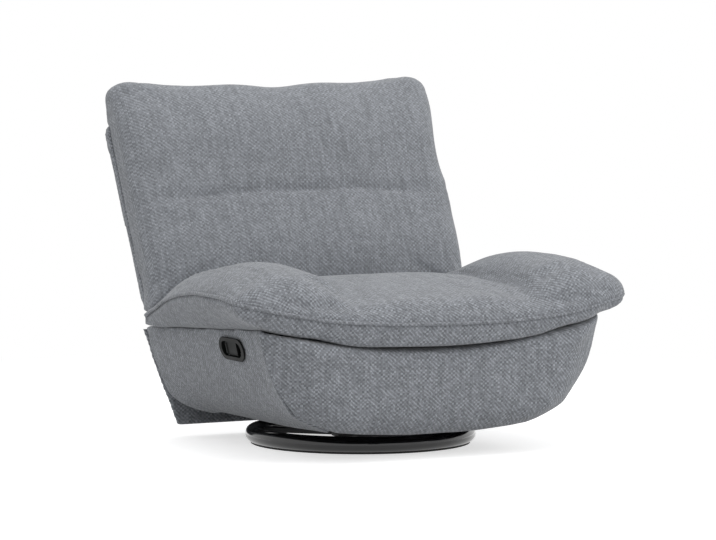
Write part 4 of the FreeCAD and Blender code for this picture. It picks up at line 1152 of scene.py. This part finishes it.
def make_rocker_springs(steel):
    """Four coils that stand on the turntable under the seat frame."""
    low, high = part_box("rocker_springs")
    bottom = low.z + SPRING_WIRE
    top = high.z - SPRING_WIRE
    last = SPRING_TURNS * SPRING_STEPS
    for k in range(4):
        cx = low.x + SPRING_INSET if k % 2 else high.x - SPRING_INSET
        cy = low.y + SPRING_INSET if k // 2 else high.y - SPRING_INSET
        path = []
        for s in range(last + 1):
            angle = 2 * math.pi * s / SPRING_STEPS
            x = cx + SPRING_RADIUS * math.cos(angle)
            y = cy + SPRING_RADIUS * math.sin(angle)
            path.append((x, y, bottom + (top - bottom) * s / last))
        coil = tube_along("rocker_coil_%d" % (k + 1), path, SPRING_WIRE)
        coil.data.materials.append(steel)
        smooth_shade(coil)
        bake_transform(coil)
        if k == 0:
            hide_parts("rocker_springs")


def finish_nodes(finishes):
    """Finish of the CAD nodes that stay, by the record's slot."""
    for part in frame["record"]["subparts"]:
        finish = finishes.get(part["material_slot"])
        if finish:
            nodes[part["node"]].data.materials.clear()
            nodes[part["node"]].data.materials.append(finish)


# Room: pale floor, soft light and the camera


def make_floor():
    """White to the eye, darker only where the chair shades it."""
    deselect()
    bpy.ops.mesh.primitive_plane_add(size=FLOOR_SIZE)
    floor = bpy.context.active_object
    floor.name = "floor"
    n = Nodes("pale_floor")
    n.set(Base_Color=(FLOOR_TONE, FLOOR_TONE, FLOOR_TONE, 1), Roughness=0.9, Specular_IOR_Level=0.1)
    reach = n.put("ShaderNodeVectorMath", operation="LENGTH")
    n.feed(reach.inputs[0], n.place())
    glow = n.put("ShaderNodeEmission")
    n.feed(glow.inputs["Strength"], FLOOR_GLOW)
    near = n.put("ShaderNodeAddShader")
    n.feed(near.inputs[0], n.shader.outputs[0])
    n.feed(near.inputs[1], glow.outputs[0])
    white = n.put("ShaderNodeEmission")
    shown = n.put("ShaderNodeMixShader")
    n.feed(shown.inputs[0], n.range(reach.outputs["Value"], FLOOR_NEAR, FLOOR_FAR, 0.0, 1.0))
    n.feed(shown.inputs[1], near.outputs[0])
    n.feed(shown.inputs[2], white.outputs[0])
    either = n.put("ShaderNodeMixShader")
    n.feed(either.inputs[0], seen_rays(n.tree))
    n.feed(either.inputs[1], n.shader.outputs[0])
    n.feed(either.inputs[2], shown.outputs[0])
    n.feed(n.tree.nodes["Material Output"].inputs[0], either.outputs[0])
    floor.data.materials.append(n.material)


def make_world():
    world = bpy.data.worlds.new("studio")
    bpy.context.scene.world = world
    world.use_nodes = True
    tree = world.node_tree
    background = tree.nodes["Background"]
    background.inputs["Color"].default_value = (1, 1, 1, 1)
    strength = tree.nodes.new("ShaderNodeMapRange")
    tree.links.new(seen_rays(tree), strength.inputs[0])
    strength.inputs[3].default_value = WORLD_LIGHT
    strength.inputs[4].default_value = 1.0
    tree.links.new(strength.outputs[0], background.inputs["Strength"])


def soft_lamp(name, place, size, power):
    data = bpy.data.lights.new(name, "AREA")
    data.shape = "DISK"
    data.size = size
    data.energy = power
    lamp = add_object(name, data)
    lamp.location = place
    lamp.rotation_euler = (LAMP_AIM - Vector(place)).to_track_quat("-Z", "Y").to_euler()


def make_camera():
    data = bpy.data.cameras.new("photo_camera")
    camera = add_object("photo_camera", data)
    azimuth = math.radians(CAMERA_AZIMUTH)
    elevation = math.radians(CAMERA_ELEVATION)
    level = math.cos(elevation)
    toward = Vector((math.sin(azimuth) * level, -math.cos(azimuth) * level, math.sin(elevation)))
    camera.location = CAMERA_TARGET + toward * CAMERA_DISTANCE
    camera.rotation_euler = (-toward).to_track_quat("-Z", "Y").to_euler()
    data.sensor_fit = "HORIZONTAL"
    data.sensor_width = SENSOR_MM
    data.lens = CAMERA_FOCAL_PX / PICTURE_WIDTH_PX * SENSOR_MM
    data.clip_end = 100.0
    bpy.context.scene.camera = camera


bpy.context.scene.view_settings.view_transform = "Standard"
cover = slub_weave("slub_weave", COVER_DEPTH)
back_cloth = slub_weave("slub_weave_back", BACK_CLOTH_DEPTH)
spring_wire = brushed_steel("spring_wire", (0.10, 0.105, 0.115), (0.20, 0.205, 0.22), 0.38)
finish_nodes(
    {
        "ring_black": gloss_black(),
        "frame_black": painted_steel(),
        "zinc_steel": brushed_steel("zinc_plate", (0.48, 0.48, 0.49), (0.62, 0.62, 0.63), 0.32),
        "spring_steel": spring_wire,
        "black_plastic": moulded_black(),
        "cable_sleeve": moulded_black(),
        "strip_rubber": strip_rubber(),
        # Rails near black: painted shade in the seat gaps
        "hardwood": gap_shade_hardwood(),
        "webbing": elastic_webbing(),
    }
)
make_seat(cover)
make_back(back_cloth)
make_panel("side_panel_left", "side_cover_left", "seat", cover, turn_side, side_map, 6)
make_panel("side_panel_right", "side_cover_right", "seat", cover, turn_side, side_map, 6)
make_panel("rear_board", "rear_cover", "seat", cover, round_board, board_map, 2)
make_panel("back_shell", "outside_back_cover", "back", cover, lift_shell, back_map, 3)
make_footrest(cover)
make_rocker_springs(spring_wire)
make_floor()
make_world()
soft_lamp("overhead", (-0.6, -1.2, 4.2), 3.2, 44.0)
soft_lamp("front_right", (3.6, -4.2, 2.6), 2.6, 70.0)
soft_lamp("top_rear", (0.4, 1.6, 4.0), 3.0, 20.0)
make_camera()
